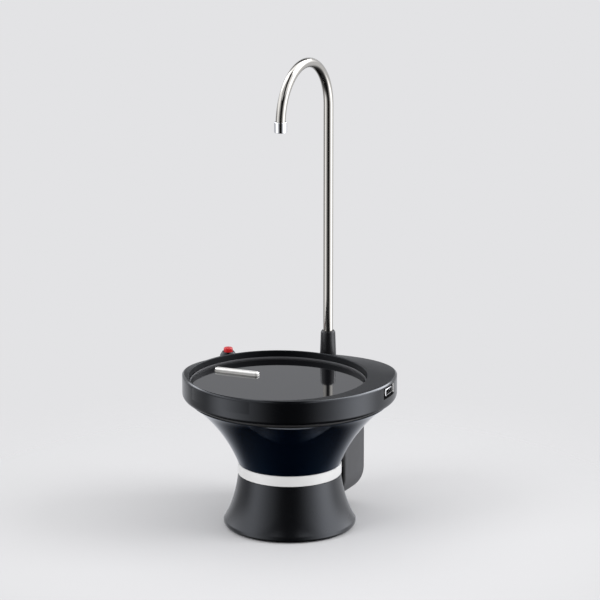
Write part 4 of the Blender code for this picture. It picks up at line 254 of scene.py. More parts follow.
SEAL_GREY = moulded("seal_grey", (0.36, 0.36, 0.37), (0.44, 0.44, 0.45), 0.5, 0.12, 1800, 0.03)
for silicone in (HOSE_MILKY, SEAL_GREY):
    soft = silicone.node_tree.nodes["Principled BSDF"].inputs
    soft["Subsurface Weight"].default_value = 0.25
    soft["Subsurface Scale"].default_value = 2 * MM
print("pale and coloured finishes:", 9)

# %% [markdown]
# ### Metals
# The tube is drawn steel, lightly polished, with a trace of the polishing lines round it. The nozzle's ring is
# brighter plating. The press bar was brushed along its length, and it lies at 22.5 degrees across the tray, so its
# pattern is turned by as much and stretched that way. A brushed face also scatters light in all directions. So the
# bar's Metallic is only a little over a half, because a full metal would mirror the dark ceiling and look grey.

# %% Metals
BAR_TURN = math.radians(-22.5)
TUBE_STEEL = metal("tube_steel", (0.43, 0.41, 0.375), (0.50, 0.48, 0.44), 0.09, 0.06, (90, 90, 1400), 0.002)
NOZZLE_CHROME = metal("nozzle_chrome", (0.78, 0.78, 0.79), (0.88, 0.88, 0.89), 0.05, 0.04, (200, 200, 200), 0.001)
BAR_STEEL = metal("bar_steel", (0.90, 0.89, 0.86), (0.97, 0.96, 0.93), 0.24, 0.08, (60, 2400, 2400), 0.001,
                  -BAR_TURN, 0.55)
PLATED_STEEL = metal("plated_steel", (0.58, 0.58, 0.60), (0.72, 0.72, 0.74), 0.22, 0.1, (900, 900, 900), 0.004)
PORT_NICKEL = metal("port_nickel", (0.70, 0.70, 0.70), (0.82, 0.82, 0.82), 0.20, 0.08, (1200, 1200, 300), 0.003)
CONTACT_GOLD = metal("contact_gold", (0.80, 0.58, 0.22), (0.90, 0.68, 0.30), 0.2, 0.1, (900, 900, 900), 0.002)
ROTOR_COPPER = metal("rotor_copper", (0.42, 0.20, 0.09), (0.60, 0.30, 0.14), 0.32, 0.15, (700, 700, 2600), 0.05)
print("metals:", 7)

# %% [markdown]
# ### The board and the cell
# The control board is green laminate with the glass weave faintly visible. The cell has a shrink film with soft
# creases that run round it. Both lie inside the shell and are only seen when somebody opens it.

# %% Board and cell
BOARD_GREEN, board_graph, board_sockets, board_place = start_finish("board_green", (0, 0, math.radians(22.6)))
weave = board_graph.signal("ShaderNodeTexBrick", {}, {"Vector": board_place, "Scale": 900.0,
                                                      "Color1": (1, 1, 1, 1), "Color2": (0.6, 0.6, 0.6, 1),
                                                      "Mortar": (0, 0, 0, 1)}, 1)
tint(board_graph, board_sockets, weave * 0.4 + noise(board_graph, board_place, 120) * 0.6,
     (0.008, 0.10, 0.035), (0.016, 0.17, 0.06))
relief(board_graph, board_sockets, weave, 0.2, 0.01)
board_sockets["Roughness"].default_value = 0.35
CELL_FILM = moulded("cell_film", (0.02, 0.06, 0.22), (0.03, 0.09, 0.30), 0.24, 0.1, 260, 0.08)
print("board and cell finishes made")

# %% [markdown]
# ## Pieces and how they are handed over
# An object with modifiers is evaluated to a plain mesh, as an exporter wants it, and the object itself goes. Each
# finished piece gets smooth faces with sharp edges by angle, rides on the body that it moves with, and hides the CAD
# nodes that it stands for.

# %% Piece helpers
def from_modifiers(name, source):
    """The evaluated result of an object as a plain mesh; the source is removed."""
    bpy.context.view_layer.update()
    ready = bpy.context.evaluated_depsgraph_get()
    mesh = bpy.data.meshes.new_from_object(source.evaluated_get(ready), depsgraph=ready)
    mesh.name = name
    bpy.data.objects.remove(source)
    return mesh


def put(name, mesh, body, nodes=(), sharp=35):
    """A finished piece at the origin that rides on a body and stands for its CAD nodes."""
    shape = bmesh.new()
    shape.from_mesh(mesh)
    bmesh.ops.remove_doubles(shape, verts=shape.verts, dist=0.001 * MM)
    bmesh.ops.recalc_face_normals(shape, faces=shape.faces)
    if shape.calc_volume(signed=True) < 0:
        bmesh.ops.reverse_faces(shape, faces=shape.faces)
    shape.to_mesh(mesh)
    shape.free()
    mesh.shade_smooth()
    mesh.set_sharp_from_angle(angle=math.radians(sharp))
    piece = placed(name, mesh)
    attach(piece, body)
    if nodes:
        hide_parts(*nodes)
    print(name, "faces:", len(mesh.polygons))


# %% [markdown]
# Three shapes in this pump repeat or follow a rule: rings round an axis, a tube along a path and copies in a row.
# Each gets a Geometry Nodes tree. The trees begin and end alike, so a small class opens them with named inputs,
# closes them and runs them on a mesh. It sets each input by its socket's identifier, since two may share a name.

# %% Geometry tree helper
class GeometryTree(Graph):
    """A Geometry Nodes tree with named inputs, which runs on a mesh and gives back a plain mesh."""

    def __init__(self, name, start, inputs):
        super().__init__(bpy.data.node_groups.new(name, "GeometryNodeTree"))
        sockets = self.tree.interface
        sockets.new_socket(start, in_out="INPUT", socket_type="NodeSocketGeometry")
        self.inputs = {title: sockets.new_socket(title, in_out="INPUT", socket_type="NodeSocket" + kind).identifier
                       for title, kind in inputs.items()}
        sockets.new_socket("Result", in_out="OUTPUT", socket_type="NodeSocketGeometry")
        self.given = self.add("NodeGroupInput").outputs

    def close(self, geometry):
        """Turn instances into real faces, give them the finish and end the tree."""
        real = self.add("GeometryNodeRealizeInstances", {}, {"Geometry": geometry})
        dressed = self.add("GeometryNodeSetMaterial", {}, {"Geometry": real.outputs[0],
                                                           "Material": self.given["Finish"]})
        self.add("NodeGroupOutput", {}, {0: dressed.outputs[0]})
        print(self.tree.name, "inputs:", ", ".join(self.inputs))
        return self

    def grow(self, name, mesh, values, wall=0.0):
        """Run the tree on a mesh, then add a wall inwards where one is asked for."""
        source = placed(name + "_source", mesh)
        step = source.modifiers.new("tree", "NODES")
        step.node_group = self.tree
        for title, value in values.items():
            step[self.inputs[title]] = value
        if wall:
            thick = source.modifiers.new("wall", "SOLIDIFY")
            thick.thickness = wall * MM
            thick.offset = -1
            thick.use_even_offset = True
        return from_modifiers(name, source)


def chain_mesh(name, points):
    """Points that are joined by edges, one after the other."""
    chain = bpy.data.meshes.new(name)
    chain.from_pydata(points, [(step, step + 1) for step in range(len(points) - 1)], [])
    return chain


# %% [markdown]
# ## One rule for every turned or lofted shell
# Almost every shell of the pump is a set of rings: the funnel, the band, the skirt, the collar and even the head,
# whose recess is a circle with a centre of its own. A Geometry Nodes tree makes them all. It takes a section as a
# chain of points and lays a grid over it, one column to each side. Each point of the section holds a radius, a
# share of the centre's shift and a height, and an attribute says how much of the rear's fall it takes. The head's
# crescent top is then a ruled surface between two circles. A Spin in bmesh could only make the shells that have
# one axis.

# %% The ring tree
def ring_tree():
    tree = GeometryTree("rings_from_section", "Section", {
        "Sides": "Int", "Centre X": "Float", "Centre Y": "Float", "Edge Radius": "Float", "Fall Share": "Float",
        "Fall Blend": "Float", "Finish": "Material"})
    section = tree.given["Section"]
    sides, edge, blend = (Signal(tree, tree.given[title]) for title in ("Sides", "Edge Radius", "Fall Blend"))
    count = tree.signal("GeometryNodeAttributeDomainSize", {"component": "MESH"}, {0: section}, "Point Count")
    grid = tree.add("GeometryNodeMeshGrid", {}, {"Vertices X": sides + 1, "Vertices Y": count})
    number = tree.signal("GeometryNodeInputIndex")
    column = (number / count + 1e-4).run("FLOOR")
    row = number - column * count

    def sampled(kind, value):
        """What the section's point of this row holds."""
        return tree.add("GeometryNodeSampleIndex", {"data_type": kind},
                        {"Geometry": section, "Value": value, "Index": row}).outputs[0]

    named = tree.add("GeometryNodeInputNamedAttribute", {"data_type": "FLOAT"}, {"Name": "fall"})
    fall = Signal(tree, sampled("FLOAT", named.outputs[0]))
    place = sampled("FLOAT_VECTOR", tree.add("GeometryNodeInputPosition").outputs[0])
    parts = tree.add("ShaderNodeSeparateXYZ", {}, {0: place}).outputs
    radius, share, height = (Signal(tree, parts[axis]) for axis in range(3))
    angle = column / sides * (2 * math.pi)
    sine, cosine = angle.run("SINE"), angle.run("COSINE")
    depth = edge * sine
    drop = (depth + (depth * depth + blend * blend).run("SQRT")) * Signal(tree, tree.given["Fall Share"]) * 0.5
    where = tree.add("ShaderNodeCombineXYZ", {}, {
        "X": share * Signal(tree, tree.given["Centre X"]) + radius * cosine,
        "Y": share * Signal(tree, tree.given["Centre Y"]) + radius * sine,
        "Z": height - drop * fall})
    moved = tree.add("GeometryNodeSetPosition", {}, {"Geometry": grid.outputs[0], "Position": where.outputs[0]})
    closed = tree.add("GeometryNodeMergeByDistance", {}, {"Geometry": moved.outputs[0], "Distance": 0.002 * MM})
    smooth = tree.add("GeometryNodeSetShadeSmooth", {}, {"Geometry": closed.outputs[0]})
    return tree.close(smooth.outputs[0])


# %% Rings from a section
RINGS = ring_tree()
FALL_BLEND = 8


def ring_mesh(name, section, finish, sides=160, centre=(0, 0), edge=0.0, fall=0.0):
    """Rings from a section of (radius, height) or (radius, height, share, fall) points."""
    full = [(point + (1.0, 0.0))[:4] for point in section]
    chain = chain_mesh(name + "_section", [(radius * MM, share, height * MM) for radius, height, share, _ in full])
    falls = chain.attributes.new("fall", "FLOAT", "POINT")
    for step, point in enumerate(full):
        falls.data[step].value = point[3]
    return RINGS.grow(name, chain, {"Sides": sides, "Centre X": centre[0] * MM, "Centre Y": centre[1] * MM,
                                    "Edge Radius": edge * MM, "Fall Share": fall, "Fall Blend": FALL_BLEND * MM,
                                    "Finish": finish})


# %% [markdown]
# ## Outlines and cutters
# Sections are lists of radius and height. Rounded edges are short arcs, and the two flares are quadratic curves,
# each with a foot, a handle and a top. What isn't round starts as a flat outline that is pulled up into a prism.
# Holes and recesses are cut with the Boolean modifier, whose exact solver copes with flat faces.

# %% Curves
def arc(centre, radius, first, last, steps=8):
    """Points of an arc between two angles in degrees."""
    points = []
    for step in range(steps + 1):
        angle = math.radians(first + (last - first) * step / steps)
        points.append((centre[0] + radius * math.cos(angle), centre[1] + radius * math.sin(angle)))
    return points


def flare(foot, handle, top, steps=36):
    """Points of a quadratic curve."""
    points = []
    for step in range(steps + 1):
        share = step / steps
        points.append(tuple((1 - share) ** 2 * a + 2 * share * (1 - share) * b + share ** 2 * c
                            for a, b, c in zip(foot, handle, top)))
    return points


def beside(points, distance):
    """The same outline, moved to its left."""
    moved = []
    for step, point in enumerate(points):
        run = (Vector(points[min(step + 1, len(points) - 1)]) - Vector(points[max(step - 1, 0)])).normalized()
        moved.append((point[0] - run.y * distance, point[1] + run.x * distance))
    return moved


# %% Corners and flat outlines
def soft_corner(power, steps=10):
    """A quarter turn from the top to the side; a power of 2 is round, and 1 is a flat chamfer."""
    angles = [math.pi / 2 * step / steps for step in range(steps + 1)]
    return [(math.sin(angle) ** (2 / power), abs(math.cos(angle)) ** (2 / power)) for angle in angles]


def slot_outline(length, width, steps=16):
    """A slot with round ends along X."""
    reach = (length - width) / 2
    return arc((reach, 0), width / 2, -90, 90, steps) + arc((-reach, 0), width / 2, 90, 270, steps)


def box_outline(low_x, high_x, half_y):
    return [(low_x, -half_y), (high_x, -half_y), (high_x, half_y), (low_x, half_y)]


# %% Prisms
def prism(name, outline, foot, top, place=(0, 0), turn=0.0, bevel=0.0, steps=3, finish=None):
    """An upright block with any outline, turned about +Z, with its edges rounded."""
    shape = bmesh.new()
    face = shape.faces.new([shape.verts.new((x * MM, y * MM, foot * MM)) for x, y in outline])
    raised = bmesh.ops.extrude_face_region(shape, geom=[face])
    verts = [part for part in raised["geom"] if isinstance(part, bmesh.types.BMVert)]
    bmesh.ops.translate(shape, verts=verts, vec=(0, 0, (top - foot) * MM))
    bmesh.ops.recalc_face_normals(shape, faces=shape.faces)
    if bevel:
        sharp = [edge for edge in shape.edges if edge.calc_face_angle(0) > math.radians(30)]
        bmesh.ops.bevel(shape, geom=sharp, offset=bevel * MM, segments=steps, profile=0.5, affect="EDGES")
    shift = Matrix.Translation((place[0] * MM, place[1] * MM, 0))
    bmesh.ops.transform(shape, verts=shape.verts, matrix=shift @ Matrix.Rotation(turn, 4, "Z"))
    mesh = bpy.data.meshes.new(name)
    shape.to_mesh(mesh)
    shape.free()
    if finish:
        mesh.materials.append(finish)
    return mesh


def drum_tool(name, radius, foot, top, place, sides=64):
    """A round cutter."""
    outline = [(radius * math.cos(2 * math.pi * n / sides), radius * math.sin(2 * math.pi * n / sides))
               for n in range(sides)]
    return placed(name, prism(name, outline, foot, top, place))


# %% Cuts and paint
def subtract(name, mesh, *tools):
    """Cut tools out of a mesh, which returns as a new one."""
    source = placed(name + "_source", mesh)
    for tool in tools:
        step = source.modifiers.new(tool.name, "BOOLEAN")
        step.operation = "DIFFERENCE"
        step.solver = "EXACT"
        step.object = tool
    mesh = from_modifiers(name, source)
    for tool in tools:
        bpy.data.objects.remove(tool)
    return mesh


def paint(mesh, finish, chosen):
    """Give a second finish to the faces whose centres, in millimetres, pass a test."""
    mesh.materials.append(finish)
    for face in mesh.polygons:
        if chosen(face.center / MM):
            face.material_index = len(mesh.materials) - 1


# %% [markdown]
# ## The head
# The head is a shallow drum. A round recess, 142 mm across, is sunk into it towards the front left, so the top that
# is left over is a crescent, widest at the rear right, where the spout stands. The crescent falls away to the rear.
# Its outer edge is a soft corner, between a round and a chamfer, and catches a thin line of light. The foot of the
# wall curls in under the head. All of it is one moulding, so one section goes from the pan's centre over the rim,
# down the wall and back under the pan.

# %% Head section
RECESS, SPOUT, NOZZLE, BUTTON = (-9.2, -10.1), (31.2, 64.1), (-6.9, -10.1), (-50.2, 60.0)
SPOUT_ANGLE = math.atan2(SPOUT[1], SPOUT[0])
PORT_ANGLE = math.radians(-22.6)
RECESS_RADIUS, EDGE, WALL_RADIUS = 72.0, 84.4, 86
PAN_UNDER, PAN_TOP, RIM = 115.4, 117.8, 127.5
CORNER, WALL_RUN = 1.6, 14.9

head = [(0.0, PAN_TOP), (71.2, PAN_TOP)] + arc((RECESS_RADIUS, RIM - 0.8), 0.8, 180, 90)
head += [(RECESS_RADIUS + (EDGE - RECESS_RADIUS) * step / 12, RIM, 1 - step / 12, step / 12) for step in range(1, 12)]
head += [(EDGE + CORNER * out, RIM - CORNER * (1 - up), 0, 1) for out, up in soft_corner(1.3)]
head += [(WALL_RADIUS, RIM - CORNER - WALL_RUN * step / 6, 0, 1 - step / 6) for step in range(1, 6)]
head += [(*point, 0, 0) for point in arc((82, 111), 4, 0, -90, 12)]
head += [(80.5, 107, 0, 0), (80.5, 109.2, 0, 0), (83.8, 109.2, 0, 0), (83.8, 125.3, 0, 1), (73.4, 125.3),
         (73.4, PAN_UNDER), (0.0, PAN_UNDER)]
head_mesh = ring_mesh("head_shell", head, HEAD_GLOSS, 256, RECESS, EDGE, 0.1)
print("points in the head's section:", len(head))

# %% [markdown]
# The port's recess, the spout's hole, the button's seat and the bar's slot are cut from the finished moulding. The
# cutters overlap the surface well, because a Boolean needs a clear crossing. Then two areas are painted: a face
# takes the satin finish when its centre lies on the crescent, and a flat black that paints shade in the port's
# recess.

# %% Cut and paint the head
BAR_PLACE, BAR_SLOT = (-42.3, 17.2), slot_outline(39.3, 6.6)
port_recess = placed("port_recess", prism("port_recess", box_outline(83.2, 92, 11), 116.1, 125.3, (0, 0), PORT_ANGLE,
                                          0.7))
port_mouth = placed("port_mouth", prism("port_mouth", box_outline(66, 84, 6.85), 117.45, 123.75, (0, 0), PORT_ANGLE))
bar_slot = placed("bar_slot", prism("bar_slot", BAR_SLOT, 110, 119, BAR_PLACE, BAR_TURN))
head_mesh = subtract("head_shell", head_mesh, drum_tool("spout_hole", 7.1, 100, 140, SPOUT),
                     drum_tool("button_hole", 7.0, 118.1, 140, BUTTON), port_recess, port_mouth, bar_slot)
port_way = Vector((math.cos(PORT_ANGLE), math.sin(PORT_ANGLE), 0))


def in_port(centre):
    """Whether a place lies in the port's recess, in the head's wall."""
    return (centre.dot(port_way) > 0 and abs(centre.cross(port_way).z) < 11.3
            and 82.5 < centre.xy.length < 85.6 and 116 < centre.z < 125.4)


paint(head_mesh, HEAD_SATIN, lambda centre: centre.xy.length < EDGE - 0.05)
# Painted shade: the faces of the port's recess get the unreflecting black, for the shadow inside it.
paint(head_mesh, PORT_PAINTED_SHADE, in_port)
put("head_shell", head_mesh, "pump_body", ["dish_housing"], 40)

# %% [markdown]
# ## The tray and its bead
# The tray is a polished plate in the bottom of the recess. The press bar comes up through a slot in it, and a soft
# bead seals its edge against the wall.

# %% Tray
TRAY_FOOT, TRAY_TOP = 118.1, 121.1
tray = [(0.0, TRAY_FOOT), (69.7, TRAY_FOOT), (69.7, TRAY_TOP - 0.3), (69.4, TRAY_TOP), (0.0, TRAY_TOP)]
tray_slot = placed("tray_slot", prism("tray_slot", BAR_SLOT, 112, 126, BAR_PLACE, BAR_TURN))
put("tray_top", subtract("tray_top", ring_mesh("tray_top", tray, TRAY_GLOSS, 192, RECESS), tray_slot), "pump_body",
    ["tray_plate"], 30)
bead = [(70.9, TRAY_FOOT), (70.9, 122.1)] + arc((70.6, 122.1), 0.3, 0, 90, 5) + arc((70.5, 121.9), 0.5, 90, 180, 6)
bead += [(70.0, TRAY_FOOT), (70.9, TRAY_FOOT)]
put("tray_bead", ring_mesh("tray_bead", bead, GASKET_SOFT, 192, RECESS), "pump_body", ["tray_gasket"])

# %% [markdown]
# ## The funnel, the band and the skirt
# The body is waisted. The funnel flares up to the head, the skirt flares down to the bottle's shoulder, and the
# pale band hides the joint between them. Each is a turned shell with its real wall, so it looks right from below
# as well, where the socket for the bottle's neck and its soft seal can be seen. The funnel's curve droops a little
# near its top. Its rim turns up into a groove under the head, which gets a flat black of painted shade, so the
# joint reads as a shadow.

# %% Funnel
WAIST, WAIST_FOOT, WAIST_TOP = 41.5, 43.3, 52.5
FUNNEL_CURVE = [(radius, height - 0.0055 * max(radius - 71, 0) ** 2)
                for radius, height in flare((WAIST, WAIST_TOP), (53.9, 83.5), (79.8, 104.5))]
funnel = [(24, 48.5), (39.4, 48.5), (39.4, WAIST_TOP)] + FUNNEL_CURVE
funnel += [(79.7, 104.3), (78.9, 104.7), (78.9, 108.5), (77.8, 108.5), (77.8, 105.4)]
funnel += [point for point in reversed(beside(FUNNEL_CURVE, 2.2)) if point[0] < 77.6 and point[1] > 53]
funnel += [(37.2, 51), (24, 51), (24, 48.5)]
rear_window = placed("rear_window", prism("rear_window", box_outline(38, 75.2, 14.5), 58, 100, (0, 0), SPOUT_ANGLE))
hose_way = drum_tool("hose_way", 4.7, 97, 105.5, SPOUT)
funnel_mesh = subtract("funnel_shell", ring_mesh("funnel_shell", funnel, FUNNEL_GLOSS, 192), rear_window, hose_way)
# Painted shade: the groove at the funnel's rim gets flat black, for the shadow of the joint under the head.
paint(funnel_mesh, INNER_BLACK_AND_GROOVE_SHADE, lambda centre: centre.z > 104.2)
put("funnel_shell", funnel_mesh, "pump_body", ["funnel_body"], 40)

# %% [markdown]
# The band is a plain hoop with rounded edges. The skirt has more in its section: a lip that goes up into the funnel,
# the flare itself, a rounded foot, the socket's inner wall and the web that the intake comes through.

# %% Band and skirt
band = [(39.7, 43.6)] + arc((41.3, 44.1), 0.5, -90, 0, 6) + arc((41.3, 51.7), 0.5, 0, 90, 6)
band += [(39.7, 52.2), (39.7, 43.6)]
put("waist_ring", ring_mesh("waist_ring", band, BAND_WHITE, 192), "pump_body", ["waist_band"], 50)

SKIRT_CURVE = flare((WAIST, WAIST_FOOT), (43.9, 19.8), (53.3, 4.5))
WEB_UNDER = 40.9
skirt = [(37.0, WAIST_FOOT), (37.0, 48.2), (39.4, 48.2), (39.4, WAIST_FOOT)]
skirt += SKIRT_CURVE + arc((50.1, 3.2), 3.2, 10, -90, 12) + [(48, 0.0), (48, 8)]
skirt += [point for point in reversed(beside(SKIRT_CURVE, -2.4)) if point[0] < 47.6 and point[1] < 40]
skirt += [(39.2, WEB_UNDER), (30.5, WEB_UNDER), (30.5, 3.4), (30.1, 3), (28.7, 3), (28.3, 3.4), (28.3, WEB_UNDER),
          (6.0, WEB_UNDER), (6.0, WAIST_FOOT), (37.0, WAIST_FOOT)]
put("neck_flare", ring_mesh("neck_flare", skirt, SKIRT_SATIN, 192), "pump_body", ["neck_skirt"], 40)

# %% [markdown]
# The seal inside the socket is a soft sleeve with three lips that grip the bottle's neck. Its section zigzags once
# for each lip, which a bevel on a plain ring could not do.

# %% Neck seal
seal = [(28.0, 18), (28.0, 26)]
for lip in range(3):
    height = 25.4 - 2.5 * lip
    seal += [(27.6, height), (27.02, height - 0.7), (27.02, height - 1.0), (27.6, height - 1.7)]
seal += [(28.0, 18)]
put("neck_lips", ring_mesh("neck_lips", seal, SEAL_GREY, 128), "pump_body", ["neck_seal"])

# %% [markdown]
# ## The shell behind the waist
# A deep shell covers the pump and its motor. It is U-shaped from behind, in line with the spout, and it hugs the
# funnel and the skirt. It is made as a rounded block whose front is cut away by the body's own curves, a hair
# larger, so the joint line is the same width all round. Three shallow wells in its back take the screws.

# %% Rear shell
SCREW_SPOTS = ((-21, 84), (21, 84), (0, 15.3))
LAID_BACK = Matrix.Rotation(SPOUT_ANGLE, 4, "Z") @ Matrix(((0, 0, 1, 0), (1, 0, 0, 0), (0, 1, 0, 0), (0, 0, 0, 1)))


def rear_block(name, inset, near, far, bevel=0.0):
    """The U-shaped block, laid down so that its depth runs along the spout's direction."""
    half, foot, radius = 30.2 - inset, 7.6 + inset, 23.5 - inset
    right = arc((half - radius, foot + radius), radius, 0, -90, 24)
    left = arc((-half + radius, foot + radius), radius, -90, -180, 24)
    mesh = prism(name, [(half, 110)] + right + left + [(-half, 110)], near, far, (0, 0), 0.0, bevel, 6)
    mesh.transform(LAID_BACK)
    return mesh


JOINT_GAP = 0.3
envelope = [(0.0, 4), (53.6, 4)] + list(reversed(beside(SKIRT_CURVE, JOINT_GAP)))
envelope += [(42.1, WAIST_FOOT), (42.1, WAIST_TOP)] + beside(FUNNEL_CURVE, -JOINT_GAP)
envelope += [(80.5, 106.7), (92, 106.7), (92, 114), (0.0, 114)]
shell_mesh = rear_block("rear_shell", 0, 41.5, 78.5, 2.2)
shell_mesh.materials.append(HOUSING_MATTE)
room = placed("rear_room", rear_block("rear_room", 2.4, 38, 76.1))
body = placed("body_envelope", ring_mesh("body_envelope", envelope, HOUSING_MATTE, 160))
wells = [drum_tool("screw_well", 2.8, 76.8, 82, spot, 32) for spot in SCREW_SPOTS]
for well in wells:
    well.data.transform(LAID_BACK)
put("rear_shell", subtract("rear_shell", shell_mesh, room, body, *wells), "pump_body",
    ["rear_housing"], 30)

# %% [markdown]
# ## The spout
# The tube is one bend of polished steel: straight up, over a half circle and down to the nozzle. A short tree
# sweeps a circle along the path, and Solidify gives the tube its wall and closes its ends.

# %% Sweep tree and tube
def sweep_tree():
    tree = GeometryTree("tube_along_path", "Path", {"Radius": "Float", "Sides": "Int", "Finish": "Material"})
    path = tree.add("GeometryNodeMeshToCurve", {}, {0: tree.given["Path"]})
    ring = tree.add("GeometryNodeCurvePrimitiveCircle", {}, {"Resolution": tree.given["Sides"],
                                                             "Radius": tree.given["Radius"]})
    skin = tree.add("GeometryNodeCurveToMesh", {}, {"Curve": path.outputs[0], "Profile Curve": ring.outputs[0]})
    return tree.close(skin.outputs[0])


ARCH_CENTRE = 331.2
foot = Vector((*SPOUT, 0))
span = Vector((*NOZZLE, 0)) - foot
bend, aim = span.length / 2, span.normalized()
path = [foot + Vector((0, 0, 129 + step * 10)) for step in range(20)]
for step in range(65):
    angle = math.pi * step / 64
    path.append(foot + aim * (bend - bend * math.cos(angle)) + Vector((0, 0, ARCH_CENTRE + bend * math.sin(angle))))
path.append(foot + aim * bend * 2 + Vector((0, 0, 325.8)))
chain = chain_mesh("spout_path", [point * MM for point in path])
tube = sweep_tree().grow("spout_bend", chain, {"Radius": 4 * MM, "Sides": 48, "Finish": TUBE_STEEL}, 0.6)
put("spout_bend", tube, "spout", ["spout_tube"])

# %% [markdown]
# The ring on the tube's end and the collar at its foot are turned pieces again, so they come from the ring tree. The
# collar goes on below the head as a plug with a groove for its O-ring. That shows when the spout is pulled out.

# %% Nozzle ring and collar
ring = [(3.4, 325.2)] + arc((4.8, 325.6), 0.4, -90, 0, 6) + arc((4.8, 333.3), 0.4, 0, 90, 6)
ring += [(4.3, 333.7), (4.3, 325.5), (3.4, 325.5), (3.4, 325.2)]
put("nozzle_ring", ring_mesh("nozzle_ring", ring, NOZZLE_CHROME, 64, NOZZLE), "spout",
    ["spout_nozzle"])
collar = [(1.9, 106.2), (4.3, 106.2), (4.3, 108.45), (2.6, 108.45), (2.6, 110.15), (4.3, 110.15), (4.3, 112.4),
          (5.4, 112.4), (5.4, 119), (6.8, 119), (5.95, 142.3), (5.85, 142.75)]
collar += arc((5.0, 143.8), 0.1, 60, 90, 2) + [(4.3, 143.9), (4.3, 128.7), (1.9, 128.7), (1.9, 106.2)]
put("tube_collar", ring_mesh("tube_collar", collar, COLLAR_SATIN, 64, SPOUT), "spout_plug",
    ["spout_collar"], 25)

# %% [markdown]
# ## The button
# A red cap stands in a black bezel on the rear left of the head. The bezel narrows to its mouth. The cap's edge is
# rounded and its top is very slightly dished, so the fingertip finds its centre.

# %% Button and bezel
bezel = [(4.2, 118.4), (6.75, 118.4)] + flare((6.75, 124.1), (6.2, 125.2), (5.05, 126.9), 10)
bezel += arc((4.65, 126.9), 0.4, 0, 90, 5) + arc((4.55, 126.95), 0.35, 90, 180, 5) + [(4.2, 118.4)]
put("button_collar", ring_mesh("button_collar", bezel, HEAD_GLOSS, 72, BUTTON), "pump_body",
    ["button_bezel"])
cap = [(0.0, 112.3), (1.3, 112.3), (1.3, 123.2), (3.75, 123.2)] + arc((2.75, 129.4), 1.0, 0, 90, 10)
cap += [(1.4, 130.3), (0.0, 130.25)]
put("button_cap", ring_mesh("button_cap", cap, BUTTON_RED, 64, BUTTON), "power_button",
    ["power_button"])

# %% [markdown]
# ## The press bar
# A cup pushes this bar down to start the water. It is a solid piece of steel with round ends. Its top edges are
# rounded enough to catch a bright line, and its flat top is brushed lengthwise.

# %% Press bar
bar_mesh = prism("press_key", slot_outline(38.5, 5.8), 114.2, 123.9, BAR_PLACE, BAR_TURN, 1.4, 8, BAR_STEEL)
put("press_key", bar_mesh, "press_bar", ["press_bar"], 50)

# %% [markdown]
# ## The charging port
# The receptacle is a folded sheet shell with a black tongue that carries four contacts. The contacts repeat, so a
# tree lays them along a line. They are only a few faces each. A frame closes the recess round the mouth, because
# the recess is cut right through the head's thin wall. It has the recess's flat unreflecting black, a painted shade.

# %% Receptacle
def laid(name, low, high, bevel=0.0, finish=None):
    """A block in the port's own frame: depth, width and height."""
    outline = [(low[0], low[1]), (high[0], low[1]), (high[0], high[1]), (low[0], high[1])]
    return prism(name, outline, low[2], high[2], (0, 0), PORT_ANGLE, bevel, 3, finish)


PORT_LOW, PORT_HIGH, PORT_SHEET = 117.75, 123.45, 0.8
hollow = placed("port_hollow", laid("port_hollow", (74.8, -5.75, PORT_LOW + PORT_SHEET),
                                    (86, 5.75, PORT_HIGH - PORT_SHEET), 0.25))
shell = laid("port_shell", (70.1, -6.5, PORT_LOW), (85.1, 6.5, PORT_HIGH), 0.6, PORT_NICKEL)
put("port_shell", subtract("port_shell", shell, hollow), "pump_body", ["usb_socket"], 40)
mouth = placed("frame_mouth", laid("frame_mouth", (70, -6.7, 117.6), (90, 6.7, 123.6)))
# Painted shade: the frame gets the same unreflecting black as the recess.
surround = laid("port_frame", (76.4, -12.9, 114), (83.25, 12.9, 125.28), 0.2, PORT_PAINTED_SHADE)
put("port_frame", subtract("port_frame", surround, mouth), "pump_body")
put("port_tongue", laid("port_tongue", (74.9, -5.2, 119.9), (82.3, 5.2, 121.6), 0.2, INNER_BLACK_AND_GROOVE_SHADE), "pump_body")

# %% [markdown]
# The row's tree puts a copy on each point of a line. The line runs across the port, so its step is a vector.

# %% Contacts
def row_tree():
    tree = GeometryTree("copies_in_a_row", "Copy", {"Count": "Int", "First": "Vector", "Step": "Vector",
                                                    "Finish": "Material"})
    line = tree.add("GeometryNodeMeshLine", {"mode": "OFFSET"}, {"Count": tree.given["Count"],
                                                                 "Start Location": tree.given["First"],
                                                                 "Offset": tree.given["Step"]})
    copies = tree.add("GeometryNodeInstanceOnPoints", {}, {"Points": line.outputs[0], "Instance": tree.given["Copy"]})
    return tree.close(copies.outputs[0])


ROW = row_tree()
across = Vector((-math.sin(PORT_ANGLE), math.cos(PORT_ANGLE), 0))
contact = laid("contact", (75.2, -0.6, 121.55), (81.6, 0.6, 121.75), 0.08)
contacts = ROW.grow("port_contacts", contact, {"Count": 4, "First": across * -3.6 * MM, "Step": across * 2.4 * MM,
                                               "Finish": CONTACT_GOLD})
put("port_contacts", contacts, "pump_body")

# %% [markdown]
# The same tree lays out the screws of the rear shell. Each has a low domed head with a cross in it, and the screw is
# made upright, then laid down with its whole row.

